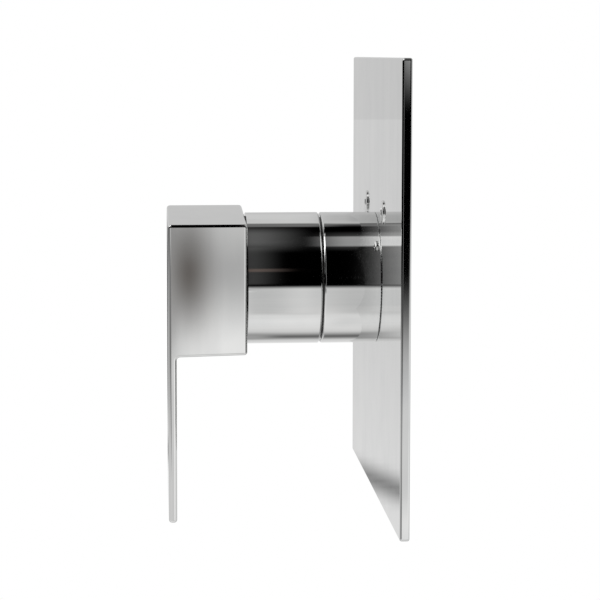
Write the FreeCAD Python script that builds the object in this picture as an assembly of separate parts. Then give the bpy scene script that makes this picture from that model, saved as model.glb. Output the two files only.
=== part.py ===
import FreeCAD, Part
import math
import os

# Pressure balance shower valve with square trim, one lever and a compact valve barrel.
# Millimetres, +Z up. The origin is where the handle's axis meets the wall, the wall is the plane
# y = 0, and the trim stands out of it towards -Y. "out" is the distance from the wall.

# Wall plate and its screws
PLATE_SIDE = 180.0
PLATE_DEPTH = 3.8
PLATE_SKIN = 1.6
PLATE_RIM = 2.0
PLATE_CORNER_ROUND = 1.0
PLATE_EDGE_ROUND = 0.8
PLATE_BACK_ROUND = 0.9
PLATE_HOLE_CLEARANCE = 0.8
GASKET_WIDTH = 12.0
GASKET_CLEARANCE = 0.2
PLATE_SCREW_X = 30.0
PLATE_SCREW_Z = 29.0
PLATE_SCREW_R = 2.5
PLATE_SCREW_HEAD_R = 4.75
PLATE_SCREW_HEAD_RISE = 0.9
PLATE_SCREW_SOCKET = 3.0
PLATE_SCREW_SOCKET_DEPTH = 1.8
PLATE_SCREW_HOLE_CLEARANCE = 0.3
THREAD_CLEARANCE = 0.05

# Pressure balance spool, its liner and the water ways
SPOOL_R = 3.75
SPOOL_LENGTH = 26.8
SPOOL_OVERHANG = 1.75
SPOOL_LAND = 1.8
SPOOL_CENTRE_LAND = 8.0
SPOOL_CORE_R = 2.2
SPOOL_VENT_R = 0.9
SPOOL_CROSS_VENT_R = 0.6
SPOOL_TRAVEL = 1.5
SPOOL_END_GAP = 0.1
SPOOL_CLEARANCE = 0.05
LINER_WALL = 1.2
LINER_CLEARANCE = 0.05
PLUG_SLOT_WIDTH = 1.2
PLUG_SLOT_DEPTH = 1.0
PLUG_INSET = 0.25
PORT_R = 4.0
PORT_STEP = 0.6
FEED_R = 2.2
FEED_STEP = 0.1
BASE_WEB = 2.05
OUTLET_WEB = 2.0

# Ceramic discs, driver, stem and cartridge housing
DISC_EDGE = 1.25
DISC_CLEARANCE = 0.2
DISC_GASKET_THICK = 0.8
FIXED_DISC_THICK = 4.0
MOVING_DISC_THICK = 4.0
DISC_FILM = 0.02
DISC_RECESS_DEPTH = 2.0
DISC_KEY_WIDTH = 3.0
DISC_KEY_DEPTH = 1.6
DISC_KEY_ANGLES = (135.0, 225.0)
COLD_BAND = (-125.0, 75.0)
HOT_BAND = (-200.0, -120.0)
KEY_CLEARANCE = 0.15
DRIVER_THICK = 4.0
DRIVER_TAB_LENGTH = 2.0
STEM_R = 6.0
STEM_CLEARANCE = 0.06
STEM_FLANGE_R = 9.0
STEM_FLANGE_THICK = 1.5
STEM_PLAY = 0.3
STEM_TANG = 9.0
STEM_TANG_LENGTH = 3.0
STEM_O_RING_SECTION = 0.75
SERRATION_COUNT = 20
SERRATION_DEPTH = 0.6
SERRATION_CLEARANCE = 0.08
HOUSING_WALL = 2.4
HOUSING_LEDGE = 1.6
HOUSING_NECK = 1.6
LOCATING_PEG_R = 2.0
LOCATING_PEG_LENGTH = 2.5

# Valve body and the loose flange that clamps it by its rear collar
REAR_REACH = 6.5
REAR_WALL = 10.5
CHAMBER_CLEARANCE = 0.1
THREAD_DEPTH = 1.4
BARREL_WALL = 1.6
THREAD_RELIEF = 0.4
COLLAR_HEIGHT = 1.4
COLLAR_THICK = 1.6
COLLAR_CLEARANCE = 0.05
FLANGE_THICK = 4.0
FLANGE_HOLE_R = 2.6
FLANGE_HOLE_COUNT = 4
FLANGE_HOLE_MARGIN = 1.3
FLANGE_EDGE = 2.4
FLANGE_CORNER_R = 6.0
SEAL_SECTION = 0.8
SEAL_MARGIN = 1.4
SEAL_SQUEEZE = 0.1

# Bonnet nut and turning limit
NUT_BORE_R = 15.0
NUT_THREAD_LENGTH = 5.6
NUT_HEAD_LENGTH = 2.4
NUT_ACROSS_FLATS = 38.0
NUT_CLEARANCE = 0.1
LIMIT_RING_THICK = 4.4
LIMIT_RING_BORE_GAP = 1.0
LIMIT_SLOT_INNER_R = 8.6
LIMIT_SLOT_OUTER_R = 12.4
LIMIT_SLOT_DEPTH = 3.0
LIMIT_KEY = 2.0
LIMIT_KEY_LENGTH = 1.2
STOP_HALF_ANGLE = 9.0
STOP_CLEARANCE = 0.3
STOP_CLEARANCE_ANGLE = 0.5
TURN_RANGE = 105.0

# Sleeve, hub and what centres them
RING_GAP = 1.7
SLEEVE_WALL = 2.0
SLEEVE_LENGTH = 23.0
SLEEVE_FRONT_ROUND = 0.9
SLEEVE_REAR_ROUND = 0.4
SLEEVE_SEAL_THICK = 2.0
RING_CLEARANCE = 0.05
BARREL_CLEARANCE = 0.1
BARREL_O_RING_SECTION = 1.12
BARREL_O_RING_PITCH = 8.0
SEAM_GAP = 0.6
GUIDE_RING_BEHIND_SEAM = 2.8
GUIDE_RING_IN_HUB = 6.6
HUB_WALL = 2.0
HUB_FRONT_WALL = 2.3
HUB_REAR_ROUND = 0.6
WASHER_THICK = 0.4
WASHER_INSET = 1.4

# Handle adaptor and the small screws of the handle
ADAPTOR_GAP = 0.5
ADAPTOR_FLANGE_R = 13.0
ADAPTOR_FLANGE_THICK = 2.0
ADAPTOR_BODY_R = 11.0
ADAPTOR_BODY_LENGTH = 11.1
ADAPTOR_WEB = 1.5
ADAPTOR_FRONT_GAP = 0.8
ADAPTOR_GROOVE_DEPTH = 0.6
STEM_END_GAP = 0.2
BOSS_CLEARANCE = 0.1
BOSS_WALL = 3.4
BOSS_END_GAP = 0.4
HANDLE_SCREW_R = 2.0
HANDLE_SCREW_LENGTH = 12.0
HANDLE_SCREW_HEAD_R = 3.5
HANDLE_SCREW_HEAD = 2.0
HANDLE_SCREW_SOCKET = 2.5
HANDLE_SCREW_SOCKET_DEPTH = 1.4
SCREW_PASS_CLEARANCE = 0.2
HEAD_CLEARANCE = 0.7
HUB_SCREW_LENGTH = 12.0
HUB_SCREW_HEAD = 2.4
SET_SCREW_R = 2.5
SET_SCREW_SOCKET = 2.5
SET_SCREW_SOCKET_DEPTH = 2.2
KEY_HOLE_R = 3.4
PLUG_CLEARANCE = 0.05
PLUG_TAIL = 1.0

# Lever handle: a square block with a flat blade that hangs from its front face
BLOCK_INSET = 0.8
BLOCK_DEPTH = 31.5
BLOCK_DROP = 0.25
BLOCK_DRAFT_ANGLE = 1.4
BLADE_THICK = 3.4
LEVER_LEAN = 0.4
LEVER_REACH = 96.3
LEVER_EDGE_ROUND = 1.2
LEVER_CORNER_ROUND = 1.3
LEVER_REST_ANGLE = 4.3
BLADE_ROUND_LIMIT = 0.45
EDGE_ROUND_LIMIT = 0.42
BLOCK_POCKET_DEPTH = 22.0
BLOCK_POCKET_MARGIN = 2.6

# Radii that follow, from the spool outwards to the sleeve
LINER_BORE_R = SPOOL_R + SPOOL_CLEARANCE
LINER_R = LINER_BORE_R + LINER_WALL
CROSS_BORE_R = LINER_R + LINER_CLEARANCE
BASE_PORT_R = PORT_R + PORT_STEP
INLET_OFFSET = SPOOL_LENGTH / 2 - SPOOL_OVERHANG
OUTLET_OFFSET = CROSS_BORE_R + OUTLET_WEB + BASE_PORT_R
DISC_R = OUTLET_OFFSET + BASE_PORT_R + DISC_EDGE
HOUSING_BORE_R = DISC_R + DISC_CLEARANCE
CARTRIDGE_R = HOUSING_BORE_R + HOUSING_WALL
CHAMBER_R = CARTRIDGE_R + CHAMBER_CLEARANCE
THREAD_R = CHAMBER_R + THREAD_DEPTH
BARREL_R = THREAD_R + BARREL_WALL
SLEEVE_BORE_R = BARREL_R + RING_GAP
SLEEVE_R = SLEEVE_BORE_R + SLEEVE_WALL
HUB_BORE_R = SLEEVE_R - HUB_WALL
COLLAR_R = BARREL_R + COLLAR_HEIGHT
FLANGE_PITCH_R = COLLAR_R + FLANGE_HOLE_MARGIN + FLANGE_HOLE_R
FLANGE_R = FLANGE_PITCH_R + FLANGE_HOLE_R + FLANGE_EDGE
SEAL_MEAN_R = PORT_R + SEAL_MARGIN + SEAL_SECTION
BOSS_BORE_R = ADAPTOR_BODY_R + BOSS_CLEARANCE
BOSS_R = BOSS_BORE_R + BOSS_WALL
SET_SCREW_TIP = ADAPTOR_BODY_R - ADAPTOR_GROOVE_DEPTH
HUB_SCREW_OFFSET = (BOSS_R + HUB_BORE_R) / 2
BLOCK_SIDE = 2 * SLEEVE_R - BLOCK_INSET
BLOCK_POCKET_R = HUB_SCREW_OFFSET - HANDLE_SCREW_R - BLOCK_POCKET_MARGIN

# Places that follow along the axis, from the back of the valve body to the handle's front
BODY_BACK = -REAR_REACH
CHAMBER_FLOOR = BODY_BACK + REAR_WALL
SPOOL_AXIS = CHAMBER_FLOOR + BASE_WEB + CROSS_BORE_R
BASE_FRONT = SPOOL_AXIS + CROSS_BORE_R + BASE_WEB
FIXED_DISC_BACK = BASE_FRONT + DISC_GASKET_THICK
FIXED_DISC_FRONT = FIXED_DISC_BACK + FIXED_DISC_THICK
MOVING_DISC_BACK = FIXED_DISC_FRONT + DISC_FILM
DRIVER_BACK = MOVING_DISC_BACK + MOVING_DISC_THICK
DRIVER_FRONT = DRIVER_BACK + DRIVER_THICK
STEM_FLANGE_FRONT = DRIVER_FRONT + STEM_FLANGE_THICK
HOUSING_CEILING = STEM_FLANGE_FRONT + STEM_PLAY
HOUSING_SHOULDER = HOUSING_CEILING + HOUSING_LEDGE
HOUSING_FRONT = HOUSING_SHOULDER + HOUSING_NECK
BARREL_FRONT = HOUSING_SHOULDER + NUT_THREAD_LENGTH
NUT_FRONT = BARREL_FRONT + NUT_HEAD_LENGTH
LIMIT_RING_FRONT = HOUSING_FRONT + LIMIT_RING_THICK
ADAPTOR_BACK = LIMIT_RING_FRONT + ADAPTOR_GAP
ADAPTOR_SHOULDER = ADAPTOR_BACK + ADAPTOR_FLANGE_THICK
ADAPTOR_FRONT = ADAPTOR_SHOULDER + ADAPTOR_BODY_LENGTH
ADAPTOR_WEB_FRONT = ADAPTOR_FRONT - HANDLE_SCREW_HEAD - BOSS_END_GAP
ADAPTOR_WEB_BACK = ADAPTOR_WEB_FRONT - ADAPTOR_WEB
STEM_FRONT = ADAPTOR_WEB_BACK - STEM_END_GAP
HUB_CEILING = ADAPTOR_FRONT + ADAPTOR_FRONT_GAP
HUB_FRONT = HUB_CEILING + HUB_FRONT_WALL
HANDLE_BACK = HUB_FRONT + WASHER_THICK
HANDLE_FRONT = HANDLE_BACK + BLOCK_DEPTH
SLEEVE_FRONT = PLATE_DEPTH + SLEEVE_LENGTH
HUB_BACK = SLEEVE_FRONT + SEAM_GAP
BOSS_BACK = ADAPTOR_SHOULDER + BOSS_END_GAP
SET_SCREW_OUT = (BOSS_BACK + HUB_CEILING) / 2

Vector = FreeCAD.Vector
ORIGIN = Vector(0, 0, 0)
OUTWARD = Vector(0, -1, 0)
TURN_AXIS = Vector(0, 1, 0)
ALONG_X = Vector(1, 0, 0)
DOWN = Vector(0, 0, -1)
NEAR = 1e-4


def at(out, x=0.0, z=0.0):
    """The point at a distance out from the wall, x to the right and z up."""
    return Vector(x, -out, z)


def polar(radius, angle, out):
    """The point at a radius and an angle, which is counted from straight down towards +X."""
    turn = math.radians(angle)
    return at(out, radius * math.sin(turn), -radius * math.cos(turn))


def rod(radius, back, front, x=0.0, z=0.0):
    """A round bar square to the wall."""
    return Part.makeCylinder(radius, front - back, at(back, x, z), OUTWARD)


def tube(outer, inner, back, front, x=0.0, z=0.0):
    """A round tube square to the wall."""
    return rod(outer, back, front, x, z).cut(rod(inner, back, front, x, z))


def cross_rod(radius, x_start, x_end):
    """A round bar along X, on the axis of the balance spool."""
    return Part.makeCylinder(radius, x_end - x_start, at(SPOOL_AXIS, x_start), ALONG_X)


def box(x_size, z_size, back, front, x=0.0, z=0.0):
    """A block square to the wall, centred at x and z."""
    corner = at(front, x - x_size / 2, z - z_size / 2)
    return Part.makeBox(x_size, front - back, z_size, corner)


def prism(points, back, front):
    """A straight bar square to the wall, with a section through points of x and z."""
    corners = [at(back, x, z) for x, z in points]
    section = Part.Face(Part.makePolygon(corners + corners[:1]))
    return section.extrude(OUTWARD * (front - back))


def hexagon(across_flats, back, front, x=0.0, z=0.0):
    """A hexagonal bar square to the wall."""
    radius = across_flats / math.sqrt(3)
    turns = [math.radians(60 * i) for i in range(6)]
    points = [(x + radius * math.cos(t), z + radius * math.sin(t)) for t in turns]
    return prism(points, back, front)


def serrated(radius, back, front):
    """A bar with straight serrations, whose tips lie at the radius."""
    turns = [math.pi * i / SERRATION_COUNT for i in range(2 * SERRATION_COUNT)]
    reach = [radius - SERRATION_DEPTH * (i % 2) for i in range(2 * SERRATION_COUNT)]
    points = [(r * math.cos(t), r * math.sin(t)) for r, t in zip(reach, turns)]
    return prism(points, back, front)


def sector(inner, outer, start, end, back, front):
    """A part of a ring between two angles, square to the wall."""
    middle = (start + end) / 2

    def arc(radius, first, last):
        through = [polar(radius, a, back) for a in (first, middle, last)]
        return Part.Arc(*through).toShape()

    sides = [
        arc(outer, start, end),
        Part.makeLine(polar(outer, end, back), polar(inner, end, back)),
        arc(inner, end, start),
        Part.makeLine(polar(inner, start, back), polar(outer, start, back)),
    ]
    return Part.Face(Part.Wire(sides)).extrude(OUTWARD * (front - back))


def o_ring(mean, section, out, x=0.0, z=0.0):
    """A round rubber ring in a plane parallel to the wall."""
    return Part.makeTorus(mean, section, at(out, x, z), OUTWARD)


def rims(shape, radius, out):
    """The round edges of a radius that lie at a distance from the wall."""
    circles = [e for e in shape.Edges if isinstance(e.Curve, Part.Circle)]
    found = [e for e in circles if abs(e.Curve.Radius - radius) < NEAR]
    return [e for e in found if abs(e.Curve.Center.y + out) < NEAR]


def turned_with_lever(shape):
    """The shape turned about the handle's axis to where the lever rests."""
    return shape.rotated(ORIGIN, TURN_AXIS, LEVER_REST_ANGLE)


def fused(shapes):
    """One solid made of shapes that meet."""
    return shapes[0].multiFuse(shapes[1:]).removeSplitter()


def ports():
    """Where the hot, cold and mixed water ways cross the valve body, as pairs of x and z."""
    return [(-INLET_OFFSET, 0.0), (INLET_OFFSET, 0.0), (0.0, -OUTLET_OFFSET)]


def feeds():
    """Where hot and cold water leave the balance spool for the discs, as values of x."""
    middle = (SPOOL_CENTRE_LAND / 2 + SPOOL_LENGTH / 2 - SPOOL_LAND) / 2
    return [-middle, middle]


def plate_screw_places():
    """The two plate screws, as pairs of x and z."""
    return [(-PLATE_SCREW_X, PLATE_SCREW_Z), (PLATE_SCREW_X, PLATE_SCREW_Z)]


def wall_plate():
    """A pressed square pan with a folded rim, a hole for the barrel and two screw holes."""
    pan = box(PLATE_SIDE, PLATE_SIDE, 0, PLATE_DEPTH)
    corners = [e for e in pan.Edges if abs(e.BoundBox.YLength - PLATE_DEPTH) < NEAR]
    pan = pan.makeFillet(PLATE_CORNER_ROUND, corners)
    front = [e for e in pan.Edges if abs(e.BoundBox.YMax + PLATE_DEPTH) < NEAR]
    pan = pan.makeFillet(PLATE_EDGE_ROUND, front)
    back = [e for e in pan.Edges if abs(e.BoundBox.YMin) < NEAR]
    pan = pan.makeFillet(PLATE_BACK_ROUND, back)
    inside = PLATE_SIDE - 2 * PLATE_RIM
    pan = pan.cut(box(inside, inside, 0, PLATE_DEPTH - PLATE_SKIN))
    pan = pan.cut(rod(BARREL_R + PLATE_HOLE_CLEARANCE, 0, PLATE_DEPTH))
    for x, z in plate_screw_places():
        pan = pan.cut(rod(PLATE_SCREW_R + PLATE_SCREW_HOLE_CLEARANCE, 0, PLATE_DEPTH, x, z))
    return pan


def plate_gasket():
    """A soft frame inside the plate's rim that seals against the wall."""
    outer = PLATE_SIDE - 2 * (PLATE_RIM + GASKET_CLEARANCE)
    inner = outer - 2 * GASKET_WIDTH
    depth = PLATE_DEPTH - PLATE_SKIN
    return box(outer, outer, 0, depth).cut(box(inner, inner, 0, depth))


def plate_screw(x, z):
    """A low domed screw with a hexagon socket."""
    dome_r = (PLATE_SCREW_HEAD_R ** 2 + PLATE_SCREW_HEAD_RISE ** 2) / (2 * PLATE_SCREW_HEAD_RISE)
    crown = PLATE_DEPTH + PLATE_SCREW_HEAD_RISE
    dome = Part.makeSphere(dome_r, at(crown - dome_r, x, z))
    head = dome.common(rod(PLATE_SCREW_HEAD_R, PLATE_DEPTH, crown, x, z))
    shank = rod(PLATE_SCREW_R, BODY_BACK + THREAD_CLEARANCE, PLATE_DEPTH, x, z)
    socket = hexagon(PLATE_SCREW_SOCKET, crown - PLATE_SCREW_SOCKET_DEPTH, crown, x, z)
    return fused([head, shank]).cut(socket)


def plate_screws():
    """The two screws that draw the plate against the wall."""
    return Part.makeCompound([plate_screw(x, z) for x, z in plate_screw_places()])


def sleeve():
    """The round sleeve over the barrel, with a rounded front edge and a finer round at the plate."""
    body = tube(SLEEVE_R, SLEEVE_BORE_R, PLATE_DEPTH, SLEEVE_FRONT)
    body = body.makeFillet(SLEEVE_FRONT_ROUND, rims(body, SLEEVE_R, SLEEVE_FRONT))
    return body.makeFillet(SLEEVE_REAR_ROUND, rims(body, SLEEVE_R, PLATE_DEPTH))


def sleeve_seal():
    """A flat rubber ring inside the sleeve, against the plate."""
    outer = SLEEVE_BORE_R - BARREL_CLEARANCE
    inner = BARREL_R + BARREL_CLEARANCE
    return tube(outer, inner, PLATE_DEPTH, PLATE_DEPTH + SLEEVE_SEAL_THICK)


def barrel_o_ring_places():
    """Where the sleeve's two rings lie along the barrel."""
    middle = PLATE_DEPTH + SLEEVE_LENGTH / 2
    return [middle - BARREL_O_RING_PITCH / 2, middle + BARREL_O_RING_PITCH / 2]


def barrel_o_rings():
    """Two rubber rings on the barrel that hold the sleeve by friction."""
    mean = SLEEVE_BORE_R - RING_CLEARANCE - BARREL_O_RING_SECTION
    rings = [o_ring(mean, BARREL_O_RING_SECTION, out) for out in barrel_o_ring_places()]
    return Part.makeCompound(rings)


def guide_ring():
    """The plastic ring in the hub that turns on the barrel and inside the sleeve's front end."""
    outer = HUB_BORE_R - RING_CLEARANCE
    inner = BARREL_R + BARREL_CLEARANCE
    back = SLEEVE_FRONT - GUIDE_RING_BEHIND_SEAM
    return tube(outer, inner, back, HUB_BACK + GUIDE_RING_IN_HUB)


def mounting_flange():
    """A loose steel flange that clamps the barrel's collar; its upper corners take the plate screws."""
    front = BODY_BACK + FLANGE_THICK
    width = 2 * (PLATE_SCREW_X + FLANGE_CORNER_R)
    height = 2 * (PLATE_SCREW_Z + FLANGE_CORNER_R)
    square = box(width, height, BODY_BACK, front)
    corners = [e for e in square.Edges if abs(e.BoundBox.YLength - FLANGE_THICK) < NEAR]
    flange = fused([square.makeFillet(FLANGE_CORNER_R, corners), rod(FLANGE_R, BODY_BACK, front)])
    turns = [360 * i / FLANGE_HOLE_COUNT for i in range(FLANGE_HOLE_COUNT)]
    bolts = [polar(FLANGE_PITCH_R, turn, 0) for turn in turns]
    tapped = PLATE_SCREW_R + THREAD_CLEARANCE
    cuts = [rod(FLANGE_HOLE_R, BODY_BACK, front, p.x, p.z) for p in bolts]
    cuts += [rod(tapped, BODY_BACK, front, x, z) for x, z in plate_screw_places()]
    cuts.append(rod(BARREL_R + COLLAR_CLEARANCE, BODY_BACK, front))
    cuts.append(rod(COLLAR_R + COLLAR_CLEARANCE, BODY_BACK, BODY_BACK + COLLAR_THICK))
    return flange.cut(cuts)


def valve_body():
    """The brass barrel with its rear collar, water ways, chamber and nut thread."""
    collar = rod(COLLAR_R, BODY_BACK, BODY_BACK + COLLAR_THICK)
    body = fused([rod(BARREL_R, BODY_BACK, BARREL_FRONT), collar])
    cuts = [rod(CHAMBER_R, CHAMBER_FLOOR, BARREL_FRONT)]
    cuts.append(rod(THREAD_R, HOUSING_SHOULDER - THREAD_RELIEF, BARREL_FRONT))
    cuts += [rod(PORT_R, BODY_BACK, CHAMBER_FLOOR, x, z) for x, z in ports()]
    cuts += [seal_groove(BODY_BACK, x, z) for x, z in ports()]
    cuts.append(locating_peg(KEY_CLEARANCE))
    groove_r = SLEEVE_BORE_R - 2 * RING_CLEARANCE - 2 * BARREL_O_RING_SECTION
    half = BARREL_O_RING_SECTION + RING_CLEARANCE
    cuts += [tube(SLEEVE_BORE_R, groove_r, out - half, out + half) for out in barrel_o_ring_places()]
    return body.cut(cuts)


def seal_groove(face, x, z):
    """A ring groove round a water way, cut into a face that looks towards the wall."""
    half = SEAL_SECTION + SEAL_SQUEEZE
    depth = 2 * SEAL_SECTION
    return tube(SEAL_MEAN_R + half, SEAL_MEAN_R - half, face, face + depth, x, z)


def face_seals(face):
    """Three rubber rings in the grooves of a rear face."""
    rings = [o_ring(SEAL_MEAN_R, SEAL_SECTION, face + SEAL_SECTION, x, z) for x, z in ports()]
    return Part.makeCompound(rings)


def locating_peg(clearance):
    """The peg behind the cartridge that finds its hole in the valve body."""
    radius = LOCATING_PEG_R + clearance
    return rod(radius, CHAMBER_FLOOR - LOCATING_PEG_LENGTH - clearance, CHAMBER_FLOOR, 0, OUTLET_OFFSET)


def cartridge_base():
    """The lower half of the cartridge, which holds the balance liner across its axis."""
    base = fused([rod(CARTRIDGE_R, CHAMBER_FLOOR, BASE_FRONT), locating_peg(0)])
    cuts = [cross_rod(CROSS_BORE_R, -CARTRIDGE_R, CARTRIDGE_R)]
    hot, cold, outlet = ports()
    cuts += [rod(BASE_PORT_R, CHAMBER_FLOOR, SPOOL_AXIS, x, z) for x, z in (hot, cold)]
    cuts.append(rod(BASE_PORT_R, CHAMBER_FLOOR, BASE_FRONT, *outlet))
    cuts += [rod(FEED_R + FEED_STEP, SPOOL_AXIS, BASE_FRONT, x) for x in feeds()]
    cuts += [seal_groove(CHAMBER_FLOOR, x, z) for x, z in ports()]
    return base.cut(cuts)


def liner_half_length():
    """Half the length of the balance liner, which leaves the spool its travel."""
    return SPOOL_LENGTH / 2 + SPOOL_TRAVEL + SPOOL_END_GAP


def balance_liner():
    """The tube that the balance spool slides in, open to hot and cold behind and in front."""
    half = liner_half_length()
    liner = cross_rod(LINER_R, -half, half).cut(cross_rod(LINER_BORE_R, -half, half))
    hot, cold, _ = ports()
    cuts = [rod(FEED_R, CHAMBER_FLOOR, SPOOL_AXIS, x) for x, _ in (hot, cold)]
    cuts += [rod(FEED_R, SPOOL_AXIS, BASE_FRONT, x) for x in feeds()]
    return liner.cut(cuts)


def balance_spool():
    """The free spool: lands at its ends and centre, and a vent from each waist to its own end."""
    half = SPOOL_LENGTH / 2
    spool = cross_rod(SPOOL_R, -half, half)
    cuts = []
    for side, waist in zip((-1, 1), feeds()):
        near, far = sorted((side * SPOOL_CENTRE_LAND / 2, side * (half - SPOOL_LAND)))
        cuts.append(cross_rod(LINER_R, near, far).cut(cross_rod(SPOOL_CORE_R, near, far)))
        start, end = sorted((waist - 2 * side * SPOOL_CROSS_VENT_R, side * half))
        cuts.append(cross_rod(SPOOL_VENT_R, start, end))
        cuts.append(rod(SPOOL_CROSS_VENT_R, SPOOL_AXIS - SPOOL_R, SPOOL_AXIS + SPOOL_R, waist))
    return spool.cut(cuts)


def liner_plugs():
    """The two screw plugs that close the cross bore, each with a slot."""
    start = liner_half_length()
    end = math.sqrt(CARTRIDGE_R ** 2 - CROSS_BORE_R ** 2) - PLUG_INSET
    right = cross_rod(LINER_R, start, end)
    slot = Part.makeBox(PLUG_SLOT_DEPTH, PLUG_SLOT_WIDTH, 2 * LINER_R)
    slot.translate(at(SPOOL_AXIS + PLUG_SLOT_WIDTH / 2, end - PLUG_SLOT_DEPTH, -LINER_R))
    right = right.cut(slot)
    return Part.makeCompound([right, right.rotated(at(SPOOL_AXIS), DOWN, 180)])


def water_ways(back, front):
    """The hot, cold and mixed openings through the disc that stands still."""
    hot, cold = feeds()
    outer = INLET_OFFSET
    slot = box(outer - cold, 2 * FEED_R, back, front, (outer + cold) / 2)
    ends = [rod(FEED_R, back, front, x) for x in (cold, outer)]
    outlet = ports()[2]
    return [rod(FEED_R, back, front, hot), slot.fuse(ends), rod(BASE_PORT_R, back, front, *outlet)]


def disc_gasket():
    """A flat rubber seal between the cartridge base and the disc that stands still."""
    seal = rod(DISC_R, BASE_FRONT, FIXED_DISC_BACK)
    return seal.cut(water_ways(BASE_FRONT, FIXED_DISC_BACK))


def disc_keys(back, front, clearance):
    """Two blocks at the discs' edge, left and right of the top."""
    width = DISC_KEY_WIDTH + 2 * clearance
    inner = DISC_R - DISC_KEY_DEPTH - clearance
    outer = HOUSING_BORE_R + NEAR
    keys = []
    for angle in DISC_KEY_ANGLES:
        key = box(width, outer - inner, back, front, 0, -(outer + inner) / 2)
        keys.append(key.rotated(ORIGIN, TURN_AXIS, -angle))
    return keys


def fixed_disc():
    """The ceramic disc that stands still, keyed to the housing at its edge."""
    disc = rod(DISC_R, FIXED_DISC_BACK, FIXED_DISC_FRONT)
    cuts = water_ways(FIXED_DISC_BACK, FIXED_DISC_FRONT)
    cuts += disc_keys(FIXED_DISC_BACK, FIXED_DISC_FRONT, KEY_CLEARANCE)
    return disc.cut(cuts)


def moving_disc():
    """The ceramic disc that turns, with a stepped recess that joins cold first and then hot."""
    front = MOVING_DISC_BACK + MOVING_DISC_THICK
    disc = rod(DISC_R, MOVING_DISC_BACK, front)
    floor = MOVING_DISC_BACK + DISC_RECESS_DEPTH
    split = feeds()[1] + FEED_R
    edge = DISC_R - DISC_KEY_DEPTH - DISC_EDGE
    cold = sector(split, edge, *COLD_BAND, MOVING_DISC_BACK, floor)
    hot = sector(split - 2 * FEED_R, split + NEAR, *HOT_BAND, MOVING_DISC_BACK, floor)
    disc = disc.cut([cold, hot])
    tabs = disc_keys(front - DRIVER_TAB_LENGTH - KEY_CLEARANCE, front, KEY_CLEARANCE)
    return turned_with_lever(disc.cut(tabs))


def disc_driver():
    """The carrier that turns the upper disc by two tabs and takes the stem's tang."""
    driver = rod(DISC_R, DRIVER_BACK, DRIVER_FRONT)
    tabs = disc_keys(DRIVER_BACK - DRIVER_TAB_LENGTH, DRIVER_BACK, 0)
    within = rod(DISC_R, DRIVER_BACK - DRIVER_TAB_LENGTH, DRIVER_BACK)
    driver = fused([driver] + [tab.common(within) for tab in tabs])
    socket_back = DRIVER_FRONT - STEM_TANG_LENGTH - KEY_CLEARANCE
    socket = hexagon(STEM_TANG + 2 * KEY_CLEARANCE, socket_back, DRIVER_FRONT)
    return turned_with_lever(driver.cut(socket))


def stem():
    """The turning stem: tang, flange, sealed shaft, serrated end and a tapped hole."""
    pieces = [
        hexagon(STEM_TANG, DRIVER_FRONT - STEM_TANG_LENGTH, DRIVER_FRONT),
        rod(STEM_FLANGE_R, DRIVER_FRONT, STEM_FLANGE_FRONT),
        rod(STEM_R, STEM_FLANGE_FRONT, ADAPTOR_BACK),
        serrated(STEM_R, ADAPTOR_BACK, STEM_FRONT),
    ]
    groove = o_ring_groove()
    tapped = rod(HANDLE_SCREW_R + THREAD_CLEARANCE, handle_screw_tip() - STEM_END_GAP, STEM_FRONT)
    return turned_with_lever(fused(pieces).cut([groove, tapped]))


def stem_o_ring_place():
    """Where the stem's rubber ring lies, midway in the housing's neck."""
    return (HOUSING_CEILING + HOUSING_FRONT) / 2


def o_ring_groove():
    """The groove in the stem for its rubber ring."""
    half = STEM_O_RING_SECTION + THREAD_CLEARANCE
    bottom = STEM_R - 2 * STEM_O_RING_SECTION - THREAD_CLEARANCE
    middle = stem_o_ring_place()
    return tube(STEM_R, bottom, middle - half, middle + half)


def stem_o_ring():
    """The rubber ring that seals the stem in the housing."""
    return o_ring(STEM_R - STEM_O_RING_SECTION, STEM_O_RING_SECTION, stem_o_ring_place())


def cartridge_housing():
    """The upper half of the cartridge: a cup over the discs with a neck for the stem."""
    cup = fused([
        rod(CARTRIDGE_R, BASE_FRONT, HOUSING_SHOULDER),
        rod(NUT_BORE_R - NUT_CLEARANCE, HOUSING_SHOULDER, HOUSING_FRONT),
    ])
    cup = cup.cut([
        rod(HOUSING_BORE_R, BASE_FRONT, HOUSING_CEILING),
        rod(STEM_R + STEM_CLEARANCE, HOUSING_CEILING, HOUSING_FRONT),
        limit_key(KEY_CLEARANCE),
    ])
    keys = disc_keys(FIXED_DISC_BACK, FIXED_DISC_FRONT - KEY_CLEARANCE, 0)
    return fused([cup] + keys)


def limit_key(clearance):
    """The small block behind the limit ring that sits in the housing's neck."""
    side = LIMIT_KEY + 2 * clearance
    back = HOUSING_FRONT - LIMIT_KEY_LENGTH - clearance
    height = (LIMIT_SLOT_OUTER_R + NUT_BORE_R) / 2 - LIMIT_KEY / 2
    return box(side, side, back, HOUSING_FRONT, 0, height)


def bonnet_nut():
    """The hexagon nut that screws into the barrel and holds the cartridge down."""
    thread = rod(THREAD_R - NUT_CLEARANCE, HOUSING_SHOULDER, BARREL_FRONT)
    head = hexagon(NUT_ACROSS_FLATS, BARREL_FRONT, NUT_FRONT)
    return fused([thread, head]).cut(rod(NUT_BORE_R, HOUSING_SHOULDER, NUT_FRONT))


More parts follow.
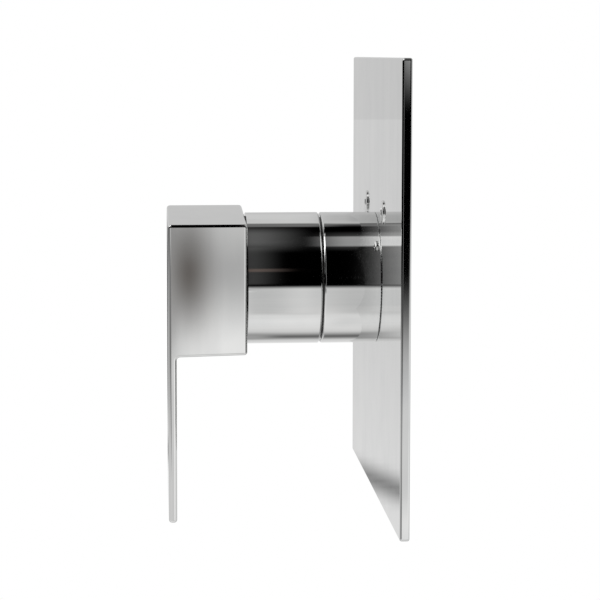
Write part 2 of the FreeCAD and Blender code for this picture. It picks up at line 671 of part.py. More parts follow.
def limit_ring():
    """The plastic ring whose curved slot sets how far the handle turns."""
    ring = tube(NUT_BORE_R - NUT_CLEARANCE, STEM_R + LIMIT_RING_BORE_GAP, HOUSING_FRONT, LIMIT_RING_FRONT)
    start = LEVER_REST_ANGLE + STOP_HALF_ANGLE + STOP_CLEARANCE_ANGLE
    end = TURN_RANGE - LEVER_REST_ANGLE + STOP_HALF_ANGLE + STOP_CLEARANCE_ANGLE
    floor = LIMIT_RING_FRONT - LIMIT_SLOT_DEPTH
    slot = sector(LIMIT_SLOT_INNER_R, LIMIT_SLOT_OUTER_R, -start, end, floor, LIMIT_RING_FRONT)
    return fused([ring.cut(slot), limit_key(0)])


def handle_adaptor():
    """The coupling between stem and hub, with the stop that runs in the limit ring's slot."""
    stop = sector(
        LIMIT_SLOT_INNER_R + STOP_CLEARANCE,
        LIMIT_SLOT_OUTER_R - STOP_CLEARANCE,
        -STOP_HALF_ANGLE,
        STOP_HALF_ANGLE,
        LIMIT_RING_FRONT - LIMIT_SLOT_DEPTH + STOP_CLEARANCE,
        ADAPTOR_BACK,
    )
    flange = rod(ADAPTOR_FLANGE_R, ADAPTOR_BACK, ADAPTOR_SHOULDER)
    body = rod(ADAPTOR_BODY_R, ADAPTOR_SHOULDER, ADAPTOR_FRONT)
    half = SET_SCREW_R + BOSS_END_GAP
    groove = tube(
        ADAPTOR_BODY_R,
        SET_SCREW_TIP,
        SET_SCREW_OUT - half,
        SET_SCREW_OUT + half,
    )
    cuts = [
        serrated(STEM_R + SERRATION_CLEARANCE, ADAPTOR_BACK, ADAPTOR_WEB_BACK),
        rod(HANDLE_SCREW_R + SCREW_PASS_CLEARANCE, ADAPTOR_WEB_BACK, ADAPTOR_WEB_FRONT),
        rod(HANDLE_SCREW_HEAD_R + HEAD_CLEARANCE, ADAPTOR_WEB_FRONT, ADAPTOR_FRONT),
        groove,
    ]
    return turned_with_lever(fused([stop, flange, body]).cut(cuts))


def cap_screw(length, head, seat, direction, x=0.0):
    """A cap screw whose head sits on a face and whose shank runs in a direction from it."""
    tip = seat + direction * length
    crown = seat - direction * head
    shank = rod(HANDLE_SCREW_R, min(seat, tip), max(seat, tip), x)
    cap = rod(HANDLE_SCREW_HEAD_R, min(seat, crown), max(seat, crown), x)
    bottom = crown + direction * HANDLE_SCREW_SOCKET_DEPTH
    socket = hexagon(HANDLE_SCREW_SOCKET, min(bottom, crown), max(bottom, crown), x)
    return fused([cap, shank]).cut(socket)


def handle_screw_tip():
    """How near the wall the axial screw reaches."""
    return ADAPTOR_WEB_FRONT - HANDLE_SCREW_LENGTH


def handle_screw():
    """The axial screw that holds the adaptor on the stem."""
    screw = cap_screw(HANDLE_SCREW_LENGTH, HANDLE_SCREW_HEAD, ADAPTOR_WEB_FRONT, -1)
    return turned_with_lever(screw)


def handle_hub():
    """The round hub: a cup with a rounded rim and a boss over the adaptor."""
    shell = rod(SLEEVE_R, HUB_BACK, HUB_FRONT)
    shell = shell.makeFillet(HUB_REAR_ROUND, rims(shell, SLEEVE_R, HUB_BACK))
    shell = shell.cut(rod(HUB_BORE_R, HUB_BACK, HUB_CEILING))
    shell = fused([shell, tube(BOSS_R, BOSS_BORE_R, BOSS_BACK, HUB_CEILING)])
    pass_r = HANDLE_SCREW_R + SCREW_PASS_CLEARANCE
    cuts = [rod(pass_r, HUB_CEILING, HUB_FRONT, x) for x in hub_screw_places()]
    tapped = SET_SCREW_R + THREAD_CLEARANCE
    cuts.append(radial_rod(tapped, SET_SCREW_TIP, BOSS_R + BOSS_WALL))
    cuts.append(radial_rod(KEY_HOLE_R, BOSS_R + BOSS_WALL, SLEEVE_R))
    return turned_with_lever(shell.cut(cuts))


def handle_washer():
    """The thin rubber washer between hub and block, which shows as a dark line."""
    washer = tube(SLEEVE_R - WASHER_INSET, BLOCK_POCKET_R, HUB_FRONT, HANDLE_BACK)
    pass_r = HANDLE_SCREW_R + SCREW_PASS_CLEARANCE
    holes = [rod(pass_r, HUB_FRONT, HANDLE_BACK, x) for x in hub_screw_places()]
    return turned_with_lever(washer.cut(holes))


def radial_rod(radius, start, end):
    """A round bar that points straight down from the axis, in line with the set screw."""
    return Part.makeCylinder(radius, end - start, at(SET_SCREW_OUT, 0, -start), DOWN)


def hub_screw_places():
    """The two screws between hub and block, as values of x."""
    return [-HUB_SCREW_OFFSET, HUB_SCREW_OFFSET]


def hub_screws():
    """The two screws that hold the hub on the back of the block."""
    screws = [cap_screw(HUB_SCREW_LENGTH, HUB_SCREW_HEAD, HUB_CEILING, 1, x) for x in hub_screw_places()]
    return turned_with_lever(Part.makeCompound(screws))


def set_screw():
    """The headless screw that clamps the hub's boss on the adaptor."""
    screw = radial_rod(SET_SCREW_R, SET_SCREW_TIP, BOSS_R)
    key = hexagon(SET_SCREW_SOCKET, 0, SET_SCREW_SOCKET_DEPTH)
    key.rotate(ORIGIN, ALONG_X, -90)
    key.translate(at(SET_SCREW_OUT, 0, -BOSS_R))
    return turned_with_lever(screw.cut(key))


def set_screw_plug():
    """The plug in the hub's underside that hides the set screw, curved like the hub."""
    plug = radial_rod(KEY_HOLE_R - PLUG_CLEARANCE, HUB_BORE_R - PLUG_TAIL, SLEEVE_R)
    return turned_with_lever(plug.common(rod(SLEEVE_R, HUB_BACK, HUB_FRONT)))


def lever_outline():
    """The lever seen from its side: the block with its sloping underside, and the blade, which leans outwards."""
    half = BLOCK_SIDE / 2
    low_back = -half - BLOCK_DROP
    slope = math.tan(math.radians(BLOCK_DRAFT_ANGLE))
    low_front = low_back - slope * (BLOCK_DEPTH - BLADE_THICK)
    lean = LEVER_LEAN / (half + LEVER_REACH)
    root = HANDLE_FRONT + lean * (half - low_front)
    tip = HANDLE_FRONT + LEVER_LEAN
    corners = [
        at(HANDLE_BACK, -half, half),
        at(HANDLE_FRONT, -half, half),
        at(tip, -half, -LEVER_REACH),
        at(tip - BLADE_THICK, -half, -LEVER_REACH),
        at(root - BLADE_THICK, -half, low_front),
        at(HANDLE_BACK, -half, low_back),
    ]
    return Part.Face(Part.makePolygon(corners + corners[:1]))


def lever_handle():
    """The square block and its blade, with soft edges, a cored back and two tapped holes."""
    half = BLOCK_SIDE / 2
    lever = lever_outline().extrude(ALONG_X * BLOCK_SIDE)
    across = [e for e in lever.Edges if abs(e.BoundBox.XLength - BLOCK_SIDE) < NEAR]
    lever = lever.makeFillet(min(LEVER_CORNER_ROUND, BLADE_ROUND_LIMIT * BLADE_THICK), across)
    sides = [e for e in lever.Edges if abs(abs(e.BoundBox.Center.x) - half) < NEAR]
    sides = [e for e in sides if e.BoundBox.XLength < NEAR]
    lever = lever.makeFillet(min(LEVER_EDGE_ROUND, EDGE_ROUND_LIMIT * BLADE_THICK), sides)
    cuts = [rod(BLOCK_POCKET_R, HANDLE_BACK, HANDLE_BACK + BLOCK_POCKET_DEPTH)]
    depth = HUB_SCREW_LENGTH - HUB_FRONT_WALL - WASHER_THICK + STEM_END_GAP
    tapped = HANDLE_SCREW_R + THREAD_CLEARANCE
    cuts += [rod(tapped, HANDLE_BACK, HANDLE_BACK + depth, x) for x in hub_screw_places()]
    return turned_with_lever(lever.cut(cuts))


NODES = {
    "wall_plate": wall_plate,
    "plate_gasket": plate_gasket,
    "plate_screws": plate_screws,
    "sleeve": sleeve,
    "sleeve_seal": sleeve_seal,
    "barrel_o_rings": barrel_o_rings,
    "guide_ring": guide_ring,
    "valve_body": valve_body,
    "mounting_flange": mounting_flange,
    "port_seals": lambda: face_seals(BODY_BACK),
    "cartridge_base": cartridge_base,
    "base_seals": lambda: face_seals(CHAMBER_FLOOR),
    "balance_liner": balance_liner,
    "balance_spool": balance_spool,
    "liner_plugs": liner_plugs,
    "disc_gasket": disc_gasket,
    "fixed_disc": fixed_disc,
    "moving_disc": moving_disc,
    "disc_driver": disc_driver,
    "stem": stem,
    "stem_o_ring": stem_o_ring,
    "cartridge_housing": cartridge_housing,
    "bonnet_nut": bonnet_nut,
    "limit_ring": limit_ring,
    "handle_adaptor": handle_adaptor,
    "handle_screw": handle_screw,
    "handle_hub": handle_hub,
    "handle_washer": handle_washer,
    "hub_screws": hub_screws,
    "set_screw": set_screw,
    "set_screw_plug": set_screw_plug,
    "lever_handle": lever_handle,
}

os.makedirs("parts", exist_ok=True)
for node, make in NODES.items():
    make().exportStep("parts/" + node + ".step")
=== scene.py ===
import math
from collections import namedtuple

import bpy
import numpy as np
from bpy.props import FloatProperty, FloatVectorProperty, PointerProperty
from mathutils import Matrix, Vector


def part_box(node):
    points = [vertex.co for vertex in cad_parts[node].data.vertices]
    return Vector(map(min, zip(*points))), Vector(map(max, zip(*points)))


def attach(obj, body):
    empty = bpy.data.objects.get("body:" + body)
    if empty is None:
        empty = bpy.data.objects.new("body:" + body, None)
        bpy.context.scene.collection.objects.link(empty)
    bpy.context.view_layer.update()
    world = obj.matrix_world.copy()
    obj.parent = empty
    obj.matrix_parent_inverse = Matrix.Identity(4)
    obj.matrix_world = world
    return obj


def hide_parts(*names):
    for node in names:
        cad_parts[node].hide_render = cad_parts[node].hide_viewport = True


bl_info = {
    "name": "Pressure balance shower valve",
    "version": (1, 0, 0),
    "blender": (4, 5, 0),
    "location": "3D View > Sidebar > Shower valve",
    "description": "Dresses a square chrome shower valve and sets its studio",
    "category": "Object",
}

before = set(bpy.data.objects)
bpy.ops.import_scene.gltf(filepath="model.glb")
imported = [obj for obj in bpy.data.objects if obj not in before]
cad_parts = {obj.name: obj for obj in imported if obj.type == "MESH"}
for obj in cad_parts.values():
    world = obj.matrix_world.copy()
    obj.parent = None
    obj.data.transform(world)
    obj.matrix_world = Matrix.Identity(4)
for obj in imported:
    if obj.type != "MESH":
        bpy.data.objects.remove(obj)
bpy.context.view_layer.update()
MM = 0.001
WHITE = (1.0, 1.0, 1.0, 1.0)


def linear(code):
    """Turns an sRGB hex colour into linear red, green and blue."""
    steps = [int(code[i:i + 2], 16) / 255 for i in (1, 3, 5)]
    return tuple(s / 12.92 if s <= 0.04045 else ((s + 0.055) / 1.055) ** 2.4 for s in steps)


def colour(name, code, about):
    """A colour property with its default written as a hex value."""
    return FloatVectorProperty(
        name=name, description=about, subtype="COLOR", size=3, min=0, max=1, default=linear(code)
    )


def length(name, value, about):
    """A length property in metres."""
    return FloatProperty(
        name=name, description=about, subtype="DISTANCE", unit="LENGTH", default=value, precision=5
    )


def angle(name, degrees, about):
    """An angle property, with its default written in degrees."""
    return FloatProperty(name=name, description=about, subtype="ANGLE", default=math.radians(degrees))


def power(name, watts, about):
    """A lamp's power in watts."""
    return FloatProperty(name=name, description=about, unit="POWER", default=watts)


class FinishColours(bpy.types.PropertyGroup):
    """The colours of the valve's materials and of the floor."""

    chrome: colour("Chrome", "#CECECD", "Polished chrome plating")
    chrome_film: colour("Chrome film", "#BFC0C0", "Faint water film and polishing streaks on the chrome")
    brass: colour("Brass", "#C39A58", "Freshly turned brass")
    brass_tarnish: colour("Brass tarnish", "#93703C", "Brass that hands and water have dulled")
    steel: colour("Stainless steel", "#B4B3B0", "Turned and rolled stainless steel")
    steel_grain: colour("Steel grain", "#8F8E89", "The darker lines of the steel's grain")
    rubber: colour("Rubber", "#1B1B1A", "Moulded black rubber")
    rubber_bloom: colour("Rubber bloom", "#343331", "The grey bloom that rubber gets in store")
    alumina: colour("Alumina", "#EEEAE0", "Lapped alumina ceramic")
    alumina_speck: colour("Alumina speck", "#D8D2C4", "Darker grains in the ceramic")
    pale_acetal: colour("Pale acetal", "#DAD9D2", "Natural moulded acetal")
    pale_acetal_flow: colour("Pale acetal flow", "#C7C6BE", "Flow marks in the natural acetal")
    dark_acetal: colour("Dark acetal", "#211E1C", "Dark moulded acetal")
    dark_acetal_flow: colour("Dark acetal flow", "#332E2A", "Flow marks in the dark acetal")
    floor: colour("Floor", "#F3F3F2", "Pale matt studio floor")
    floor_mottle: colour("Floor mottle", "#EEEEED", "The slightly darker patches of the floor")


class ScrewSizes(bpy.types.PropertyGroup):
    """The sizes of the two plate screws."""

    spread: length("Spread", 0.030, "Distance of each screw from the handle's axis, sideways")
    height: length("Height", 0.029, "Distance of the screws above the handle's axis")
    head_radius: length("Head radius", 0.00475, "Radius of the domed head")
    head_rise: length("Head rise", 0.0009, "Height of the dome over the plate")
    head_rim: length("Head rim", 0.0002, "Height of the small upright rim under the dome")
    socket: length("Socket", 0.003, "Hexagon socket across its flats")
    socket_depth: length("Socket depth", 0.0018, "Depth of the socket")
    shank_radius: length("Shank radius", 0.0025, "Radius over the thread")
    thread_depth: length("Thread depth", 0.00042, "Depth of the rolled thread")
    thread_pitch: length("Thread pitch", 0.0008, "Distance from one turn of the thread to the next")


class SealSizes(bpy.types.PropertyGroup):
    """The sizes of the rubber pieces."""

    gasket_side: length("Gasket side", 0.1756, "Outer side of the plate's gasket")
    gasket_width: length("Gasket width", 0.012, "Width of the gasket's band")
    gasket_bead: length("Gasket bead", 0.0005, "Depth of the hollows between the gasket's sealing beads")
    gasket_corner: length("Gasket corner", 0.0015, "Corner round on the gasket's inner side")
    port_offset: length("Port offset", 0.01165, "Distance of each water way from the axis")
    port_ring: length("Port ring", 0.0062, "Mean radius of the rings round the water ways")
    port_section: length("Port section", 0.0008, "Section radius of those rings")
    barrel_section: length("Barrel section", 0.00112, "Section radius of the sleeve's rings")
    flash: length("Flash", 0.00003, "Height of the fine line where a ring's mould halves met")
    washer_round: length("Washer round", 0.00013, "Edge round of the flat washers")
    washer_hole: length("Washer hole", 0.0151, "Inner radius of the washer between hub and lever")
    washer_notch: length("Washer notch", 0.0022, "Radius of the washer's notches for the hub screws")
    washer_notch_place: length("Washer notch place", 0.0197, "Distance of the hub screws from the axis")
    sleeve_seal_width: length("Sleeve seal width", 0.0015, "Width of the flat seal inside the sleeve")
    rest_turn: angle("Rest turn", 4.3, "How far the lever hangs off plumb at rest")


class StudioSizes(bpy.types.PropertyGroup):
    """The sizes of the studio, its lights and its camera."""

    camera_x: length("Camera X", 0.82799, "Camera distance on the valve's right")
    camera_y: length("Camera Y", -0.09515, "Camera distance from the wall, negative in front of it")
    camera_z: length("Camera Z", 0.09156, "Camera height over the handle's axis")
    camera_turn: angle("Camera turn", 4.18, "Turn of the view towards the wall")
    camera_dip: angle("Camera dip", 6.93, "Dip of the view")
    camera_lens: FloatProperty(
        name="Lens", description="Focal length on a 36 mm sensor", subtype="DISTANCE_CAMERA", default=121.68
    )
    floor_drop: length("Floor drop", 0.35, "How far the floor lies under the handle's axis")
    floor_radius: length("Floor radius", 0.72, "Where the floor has faded to white")
    tent_radius: length("Tent radius", 2.0, "Radius of the tent that the chrome mirrors")
    tent_width: length("Tent width", 12.0, "Width of the tent along the handle's axis")
    horizon_radius: length("Horizon radius", 1.6, "Radius of the dark band in front of the valve")
    lamp_side: length("Lamp side", 0.9, "Side of the square soft lamps")
    key_power: power("Key power", 10.0, "Power of the lamp in front of the valve")
    back_power: power("Back power", 6.0, "Power of the lamp behind the valve")
    even_light: FloatProperty(
        name="Even light", description="Strength of the even light on matt surfaces", default=0.55
    )


def node(tree, kind, inputs=None, **settings):
    """Adds a node, sets its own settings, and fills its inputs with values or with other nodes' sockets."""
    made = tree.nodes.new(kind)
    for name, value in settings.items():
        setattr(made, name, value)
    for name, value in (inputs or {}).items():
        if isinstance(value, bpy.types.NodeSocket):
            tree.links.new(value, made.inputs[name])
        else:
            made.inputs[name].default_value = value
    return made


def blank_material(name):
    """A material with nodes, its tree, and its output."""
    material = bpy.data.materials.new(name)
    material.use_nodes = True
    tree = material.node_tree
    tree.nodes.clear()
    return material, tree, tree.nodes.new("ShaderNodeOutputMaterial")


def opaque(rgb):
    """A colour with full alpha, as a colour socket takes it."""
    return (*rgb, 1.0)


def per_metre(millimetres):
    """The scale of a noise texture whose grains are about this many millimetres apart."""
    return 1 / (millimetres * MM)


def dress(names, material):
    """Gives CAD nodes a material of this file in place of their own."""
    for name in names:
        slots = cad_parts[name].data.materials
        slots.clear()
        slots.append(material)


# Sizes in millimetres of the patterns in the materials: patches of water film on chrome and of tarnish on
# turned metal, lines of rolling grain, the skin of mouldings, and the floor's mottle.
FILM_MM = 22.0
PATCH_MM = 9.0
GRAIN_MM = 0.5
SKIN_MM = 0.35
MOTTLE_MM = 60.0


def polished_chrome(colours, name, streak, streak_mm, film_share):
    """Polished chrome over brass, buffed along the axis where the streak's scale is small.

    It gives the eye a bright grey mirror. Faint streaks along the buffing and a thin water film keep the
    large faces from looking like flat grey paint.
    """
    material, tree, output = blank_material(name)
    place = node(tree, "ShaderNodeTexCoord").outputs["Object"]
    stretched = node(tree, "ShaderNodeMapping", {"Vector": place, "Scale": streak}).outputs["Vector"]
    streaks = node(
        tree,
        "ShaderNodeTexNoise",
        {"Vector": stretched, "Scale": per_metre(streak_mm), "Detail": 4.0, "Roughness": 0.55},
    ).outputs["Fac"]
    film = node(
        tree, "ShaderNodeTexNoise", {"Vector": place, "Scale": per_metre(FILM_MM), "Detail": 2.0}
    ).outputs["Fac"]
    both = node(tree, "ShaderNodeMath", {0: streaks, 1: film}, operation="MULTIPLY").outputs["Value"]
    share = node(
        tree,
        "ShaderNodeMapRange",
        {"Value": both, "From Min": 0.12, "From Max": 0.38, "To Max": film_share},
    ).outputs["Result"]
    base = node(
        tree,
        "ShaderNodeMix",
        {"Factor": share, "A": opaque(colours.chrome), "B": opaque(colours.chrome_film)},
        data_type="RGBA",
    ).outputs["Result"]
    rough = node(
        tree,
        "ShaderNodeMapRange",
        {"Value": film, "From Min": 0.3, "From Max": 0.7, "To Min": 0.02, "To Max": 0.045},
    ).outputs["Result"]
    shader = node(
        tree, "ShaderNodeBsdfPrincipled", {"Base Color": base, "Metallic": 1.0, "Roughness": rough}
    )
    tree.links.new(shader.outputs["BSDF"], output.inputs["Surface"])
    return material


def turned_metal(name, bright, dull, ring_mm):
    """Metal turned on a lathe, with fine rings about the handle's axis and a dull film in patches.

    The rings run round the outside and lie one inside the other on flat faces, and they spread the
    reflections into a soft sheen. Real ones are about 0.1 mm apart, and are drawn wider here so they show.
    """
    material, tree, output = blank_material(name)
    place = node(tree, "ShaderNodeTexCoord").outputs["Object"]
    parts = node(tree, "ShaderNodeSeparateXYZ", {"Vector": place}).outputs
    across = node(tree, "ShaderNodeCombineXYZ", {"X": parts["X"], "Z": parts["Z"]}).outputs["Vector"]
    radius = node(tree, "ShaderNodeVectorMath", {0: across}, operation="LENGTH").outputs["Value"]
    rings_at = node(tree, "ShaderNodeCombineXYZ", {"X": radius, "Y": parts["Y"]}).outputs["Vector"]
    rings = node(
        tree,
        "ShaderNodeTexNoise",
        {"Vector": rings_at, "Scale": per_metre(ring_mm), "Detail": 3.0, "Roughness": 0.6},
        noise_dimensions="2D",
    ).outputs["Fac"]
    patches = node(
        tree, "ShaderNodeTexNoise", {"Vector": place, "Scale": per_metre(PATCH_MM), "Detail": 3.0}
    ).outputs["Fac"]
    share = node(
        tree, "ShaderNodeMapRange", {"Value": patches, "From Min": 0.42, "From Max": 0.72}
    ).outputs["Result"]
    base = node(
        tree, "ShaderNodeMix", {"Factor": share, "A": opaque(bright), "B": opaque(dull)}, data_type="RGBA"
    ).outputs["Result"]
    rough = node(
        tree,
        "ShaderNodeMapRange",
        {"Value": rings, "From Min": 0.3, "From Max": 0.7, "To Min": 0.2, "To Max": 0.38},
    ).outputs["Result"]
    bump = node(
        tree, "ShaderNodeBump", {"Height": rings, "Strength": 0.25, "Distance": 0.05 * MM}
    ).outputs["Normal"]
    shader = node(
        tree,
        "ShaderNodeBsdfPrincipled",
        {"Base Color": base, "Metallic": 1.0, "Roughness": rough, "Normal": bump},
    )
    tree.links.new(shader.outputs["BSDF"], output.inputs["Surface"])
    return material


def rolled_steel(colours):
    """Stamped stainless sheet with its rolling grain, which draws long grey lines across the flange.

    Real grain is finer than this, and is drawn coarse enough to show.
    """
    material, tree, output = blank_material("rolled_stainless_sheet")
    place = node(tree, "ShaderNodeTexCoord").outputs["Object"]
    along = node(tree, "ShaderNodeMapping", {"Vector": place, "Scale": (0.02, 1.0, 1.0)}).outputs["Vector"]
    grain = node(
        tree,
        "ShaderNodeTexNoise",
        {"Vector": along, "Scale": per_metre(GRAIN_MM), "Detail": 4.0, "Roughness": 0.65},
    ).outputs["Fac"]
    base = node(
        tree,
        "ShaderNodeMix",
        {"Factor": grain, "A": opaque(colours.steel), "B": opaque(colours.steel_grain)},
        data_type="RGBA",
    ).outputs["Result"]
    rough = node(
        tree, "ShaderNodeMapRange", {"Value": grain, "To Min": 0.24, "To Max": 0.42}
    ).outputs["Result"]
    bump = node(
        tree, "ShaderNodeBump", {"Height": grain, "Strength": 0.2, "Distance": 0.04 * MM}
    ).outputs["Normal"]
    shader = node(
        tree,
        "ShaderNodeBsdfPrincipled",
        {"Base Color": base, "Metallic": 1.0, "Roughness": rough, "Normal": bump},
    )
    tree.links.new(shader.outputs["BSDF"], output.inputs["Surface"])
    return material


def moulded(name, body, mark, mark_mm, rough, bump_mm):
    """Moulded rubber, plastic or fired ceramic: an even matt body with cloudy marks and a very fine skin.

    The cloud is bloom on rubber, flow marks on acetal and grains on alumina, and it also changes the gloss
    a little. The skin breaks up the gloss.
    """
    gloss_change = 0.08
    material, tree, output = blank_material(name)
    place = node(tree, "ShaderNodeTexCoord").outputs["Object"]
    cloud = node(
        tree,
        "ShaderNodeTexNoise",
        {"Vector": place, "Scale": per_metre(mark_mm), "Detail": 5.0, "Distortion": 0.6},
    ).outputs["Fac"]
    skin = node(
        tree, "ShaderNodeTexNoise", {"Vector": place, "Scale": per_metre(SKIN_MM), "Detail": 2.0}
    ).outputs["Fac"]
    share = node(
        tree, "ShaderNodeMapRange", {"Value": cloud, "From Min": 0.35, "From Max": 0.75}
    ).outputs["Result"]
    base = node(
        tree, "ShaderNodeMix", {"Factor": share, "A": opaque(body), "B": opaque(mark)}, data_type="RGBA"
    ).outputs["Result"]
    gloss = node(
        tree,
        "ShaderNodeMapRange",
        {"Value": cloud, "To Min": rough - gloss_change, "To Max": rough + gloss_change},
    ).outputs["Result"]
    bump = node(
        tree, "ShaderNodeBump", {"Height": skin, "Strength": 0.3, "Distance": bump_mm * MM}
    ).outputs["Normal"]
    shader = node(
        tree, "ShaderNodeBsdfPrincipled", {"Base Color": base, "Roughness": gloss, "Normal": bump}
    )
    tree.links.new(shader.outputs["BSDF"], output.inputs["Surface"])
    return material


def black_rubber(colours):
    """Moulded black sealing rubber, shared by every seal."""
    made = bpy.data.materials.get("moulded_black_rubber")
    return made or moulded(
        "moulded_black_rubber", colours.rubber, colours.rubber_bloom, mark_mm=6.0, rough=0.6, bump_mm=0.03
    )


class SHOWER_OT_chrome_trim(bpy.types.Operator):
    """Plates the wall plate, sleeve, hub, plug and lever with polished chrome"""

    bl_idname = "shower.chrome_trim"
    bl_label = "Chrome trim"

    def execute(self, context):
        colours = context.scene.shower_colours
        sheet = polished_chrome(
            colours, "polished_chrome_sheet", streak=(1.0, 1.0, 0.05), streak_mm=9.0, film_share=0.8
        )
        dress(["wall_plate"], sheet)
        turned = polished_chrome(
            colours, "polished_chrome_turned", streak=(1.0, 0.03, 1.0), streak_mm=3.0, film_share=0.6
        )
        dress(["sleeve", "handle_hub", "set_screw_plug"], turned)
        cast = polished_chrome(
            colours, "polished_chrome_cast", streak=(1.0, 1.0, 0.1), streak_mm=6.0, film_share=0.4
        )
        dress(["lever_handle"], cast)
        return {"FINISHED"}


class SHOWER_OT_brass_parts(bpy.types.Operator):
    """Gives the valve body, nut, stem and liner plugs their turned brass"""

    bl_idname = "shower.brass_parts"
    bl_label = "Brass parts"

    def execute(self, context):
        colours = context.scene.shower_colours
        brass = turned_metal("machined_brass", colours.brass, colours.brass_tarnish, ring_mm=0.5)
        dress(["valve_body", "bonnet_nut", "stem", "liner_plugs"], brass)
        return {"FINISHED"}


class SHOWER_OT_steel_parts(bpy.types.Operator):
    """Gives the flange its rolled steel, and the balance unit and screws their turned steel"""

    bl_idname = "shower.steel_parts"
    bl_label = "Steel parts"

    def execute(self, context):
        colours = context.scene.shower_colours
        dress(["mounting_flange"], rolled_steel(colours))
        turned = turned_metal("turned_stainless_steel", colours.steel, colours.steel_grain, ring_mm=0.4)
        dress(["balance_liner", "balance_spool", "handle_screw", "hub_screws", "set_screw"], turned)
        return {"FINISHED"}


class SHOWER_OT_moulded_parts(bpy.types.Operator):
    """Gives the cartridge its acetal, the discs their alumina and the disc gasket its rubber"""

    bl_idname = "shower.moulded_parts"
    bl_label = "Cartridge mouldings and discs"

    def execute(self, context):
        colours = context.scene.shower_colours
        pale = moulded(
            "moulded_pale_acetal",
            colours.pale_acetal,
            colours.pale_acetal_flow,
            mark_mm=8.0,
            rough=0.42,
            bump_mm=0.02,
        )
        dress(["cartridge_base", "cartridge_housing", "disc_driver", "limit_ring"], pale)
        dark = moulded(
            "moulded_dark_acetal",
            colours.dark_acetal,
            colours.dark_acetal_flow,
            mark_mm=8.0,
            rough=0.4,
            bump_mm=0.02,
        )
        dress(["guide_ring", "handle_adaptor"], dark)
        alumina = moulded(
            "lapped_alumina", colours.alumina, colours.alumina_speck, mark_mm=0.8, rough=0.2, bump_mm=0.005
        )
        dress(["fixed_disc", "moving_disc"], alumina)
        dress(["disc_gasket"], black_rubber(colours))
        return {"FINISHED"}


def grid_faces(rows, columns, close_rows=False, close_columns=False):
    """The quads of a grid of points as rows of four corner numbers, joined end to start where asked."""
    row_starts = np.arange(rows if close_rows else rows - 1)
    column_starts = np.arange(columns if close_columns else columns - 1)
    row, column = np.meshgrid(row_starts, column_starts, indexing="ij")
    next_row = (row + 1) % rows
    next_column = (column + 1) % columns
    corners = [(row, column), (row, next_column), (next_row, next_column), (next_row, column)]
    return np.stack([(along * columns + across).ravel() for along, across in corners], axis=1)


def enclosed_volume(points, faces):
    """The volume inside closed quads, negative where they are inside out.

    Each quad is split into two triangles, and the volume is the sum of a . (b x c) / 6 over all of them.
    """
    a, b, c, d = (points[faces[:, i]] for i in range(4))
    halves = np.einsum("ij,ij->i", a, np.cross(b, c)) + np.einsum("ij,ij->i", a, np.cross(c, d))
    return halves.sum() / 6


def new_object(name, points, faces, caps=()):
    """A mesh object made of quads, and of flat caps that each close a ring of points."""
    mesh = bpy.data.meshes.new(name)
    mesh.from_pydata(points, [], [*faces.tolist(), *caps])
    mesh.polygons.foreach_set("use_smooth", np.ones(len(mesh.polygons), bool))
    made = bpy.data.objects.new(name, mesh)
    bpy.context.scene.collection.objects.link(made)
    return made


def new_piece(name, grid, material, body, node_name, capped=False, sharp=40.0):
    """A closed piece from a grid of points whose columns join, and whose rows join or end in flat caps.

    Faces are turned round where the enclosed volume comes out negative, so that they point outwards.
    Edges over the sharp angle, in degrees, stay crisp.
    """
    rows, columns = grid.shape[:2]
    points = grid.reshape(-1, 3)
    faces = grid_faces(rows, columns, close_rows=not capped, close_columns=True)
    caps = []
    if capped:
        first = np.arange(columns)
        caps = [first[::-1].tolist(), (first + (rows - 1) * columns).tolist()]
    if enclosed_volume(points, faces) < 0:
        faces = faces[:, ::-1]
        caps = [cap[::-1] for cap in caps]
    made = new_object(name, points, faces, caps)
    made.data.set_sharp_from_angle(angle=math.radians(sharp))
    made.data.materials.append(material)
    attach(made, body)
    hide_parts(node_name)


def about_axis(radius, out, turn, x=0.0, z=0.0):
    """Points at a radius and a turn about an axis square to the wall: x + r cos t, -out, z + r sin t."""
    radius, out, turn = np.broadcast_arrays(radius, out, turn)
    return np.stack([x + radius * np.cos(turn), -out, z + radius * np.sin(turn)], axis=-1)


def full_turn(count):
    """Turns that divide a circle evenly."""
    return np.linspace(0, 2 * np.pi, count, endpoint=False)


def hexagon_radius(flats, turn):
    """How far a hexagon's edge lies from its centre at a turn.

    It is half the flats over cos(t), with the turn t counted from the middle of the nearest side.
    """
    sixth = np.pi / 3
    return flats / 2 / np.cos((turn + sixth / 2) % sixth - sixth / 2)


# How finely a plate screw is drawn, and the shares of its hexagon that shape the socket: how wide the mouth
# opens in the dome, how far its bevel drops, and where the floor's middle is closed.
SCREW_SIDES = 96
DOME_RINGS = 25
THREAD_RINGS = 8
MOUTH_WIDTH = 1.12
MOUTH_DROP = 0.1
FLOOR_MIDDLE = 0.35


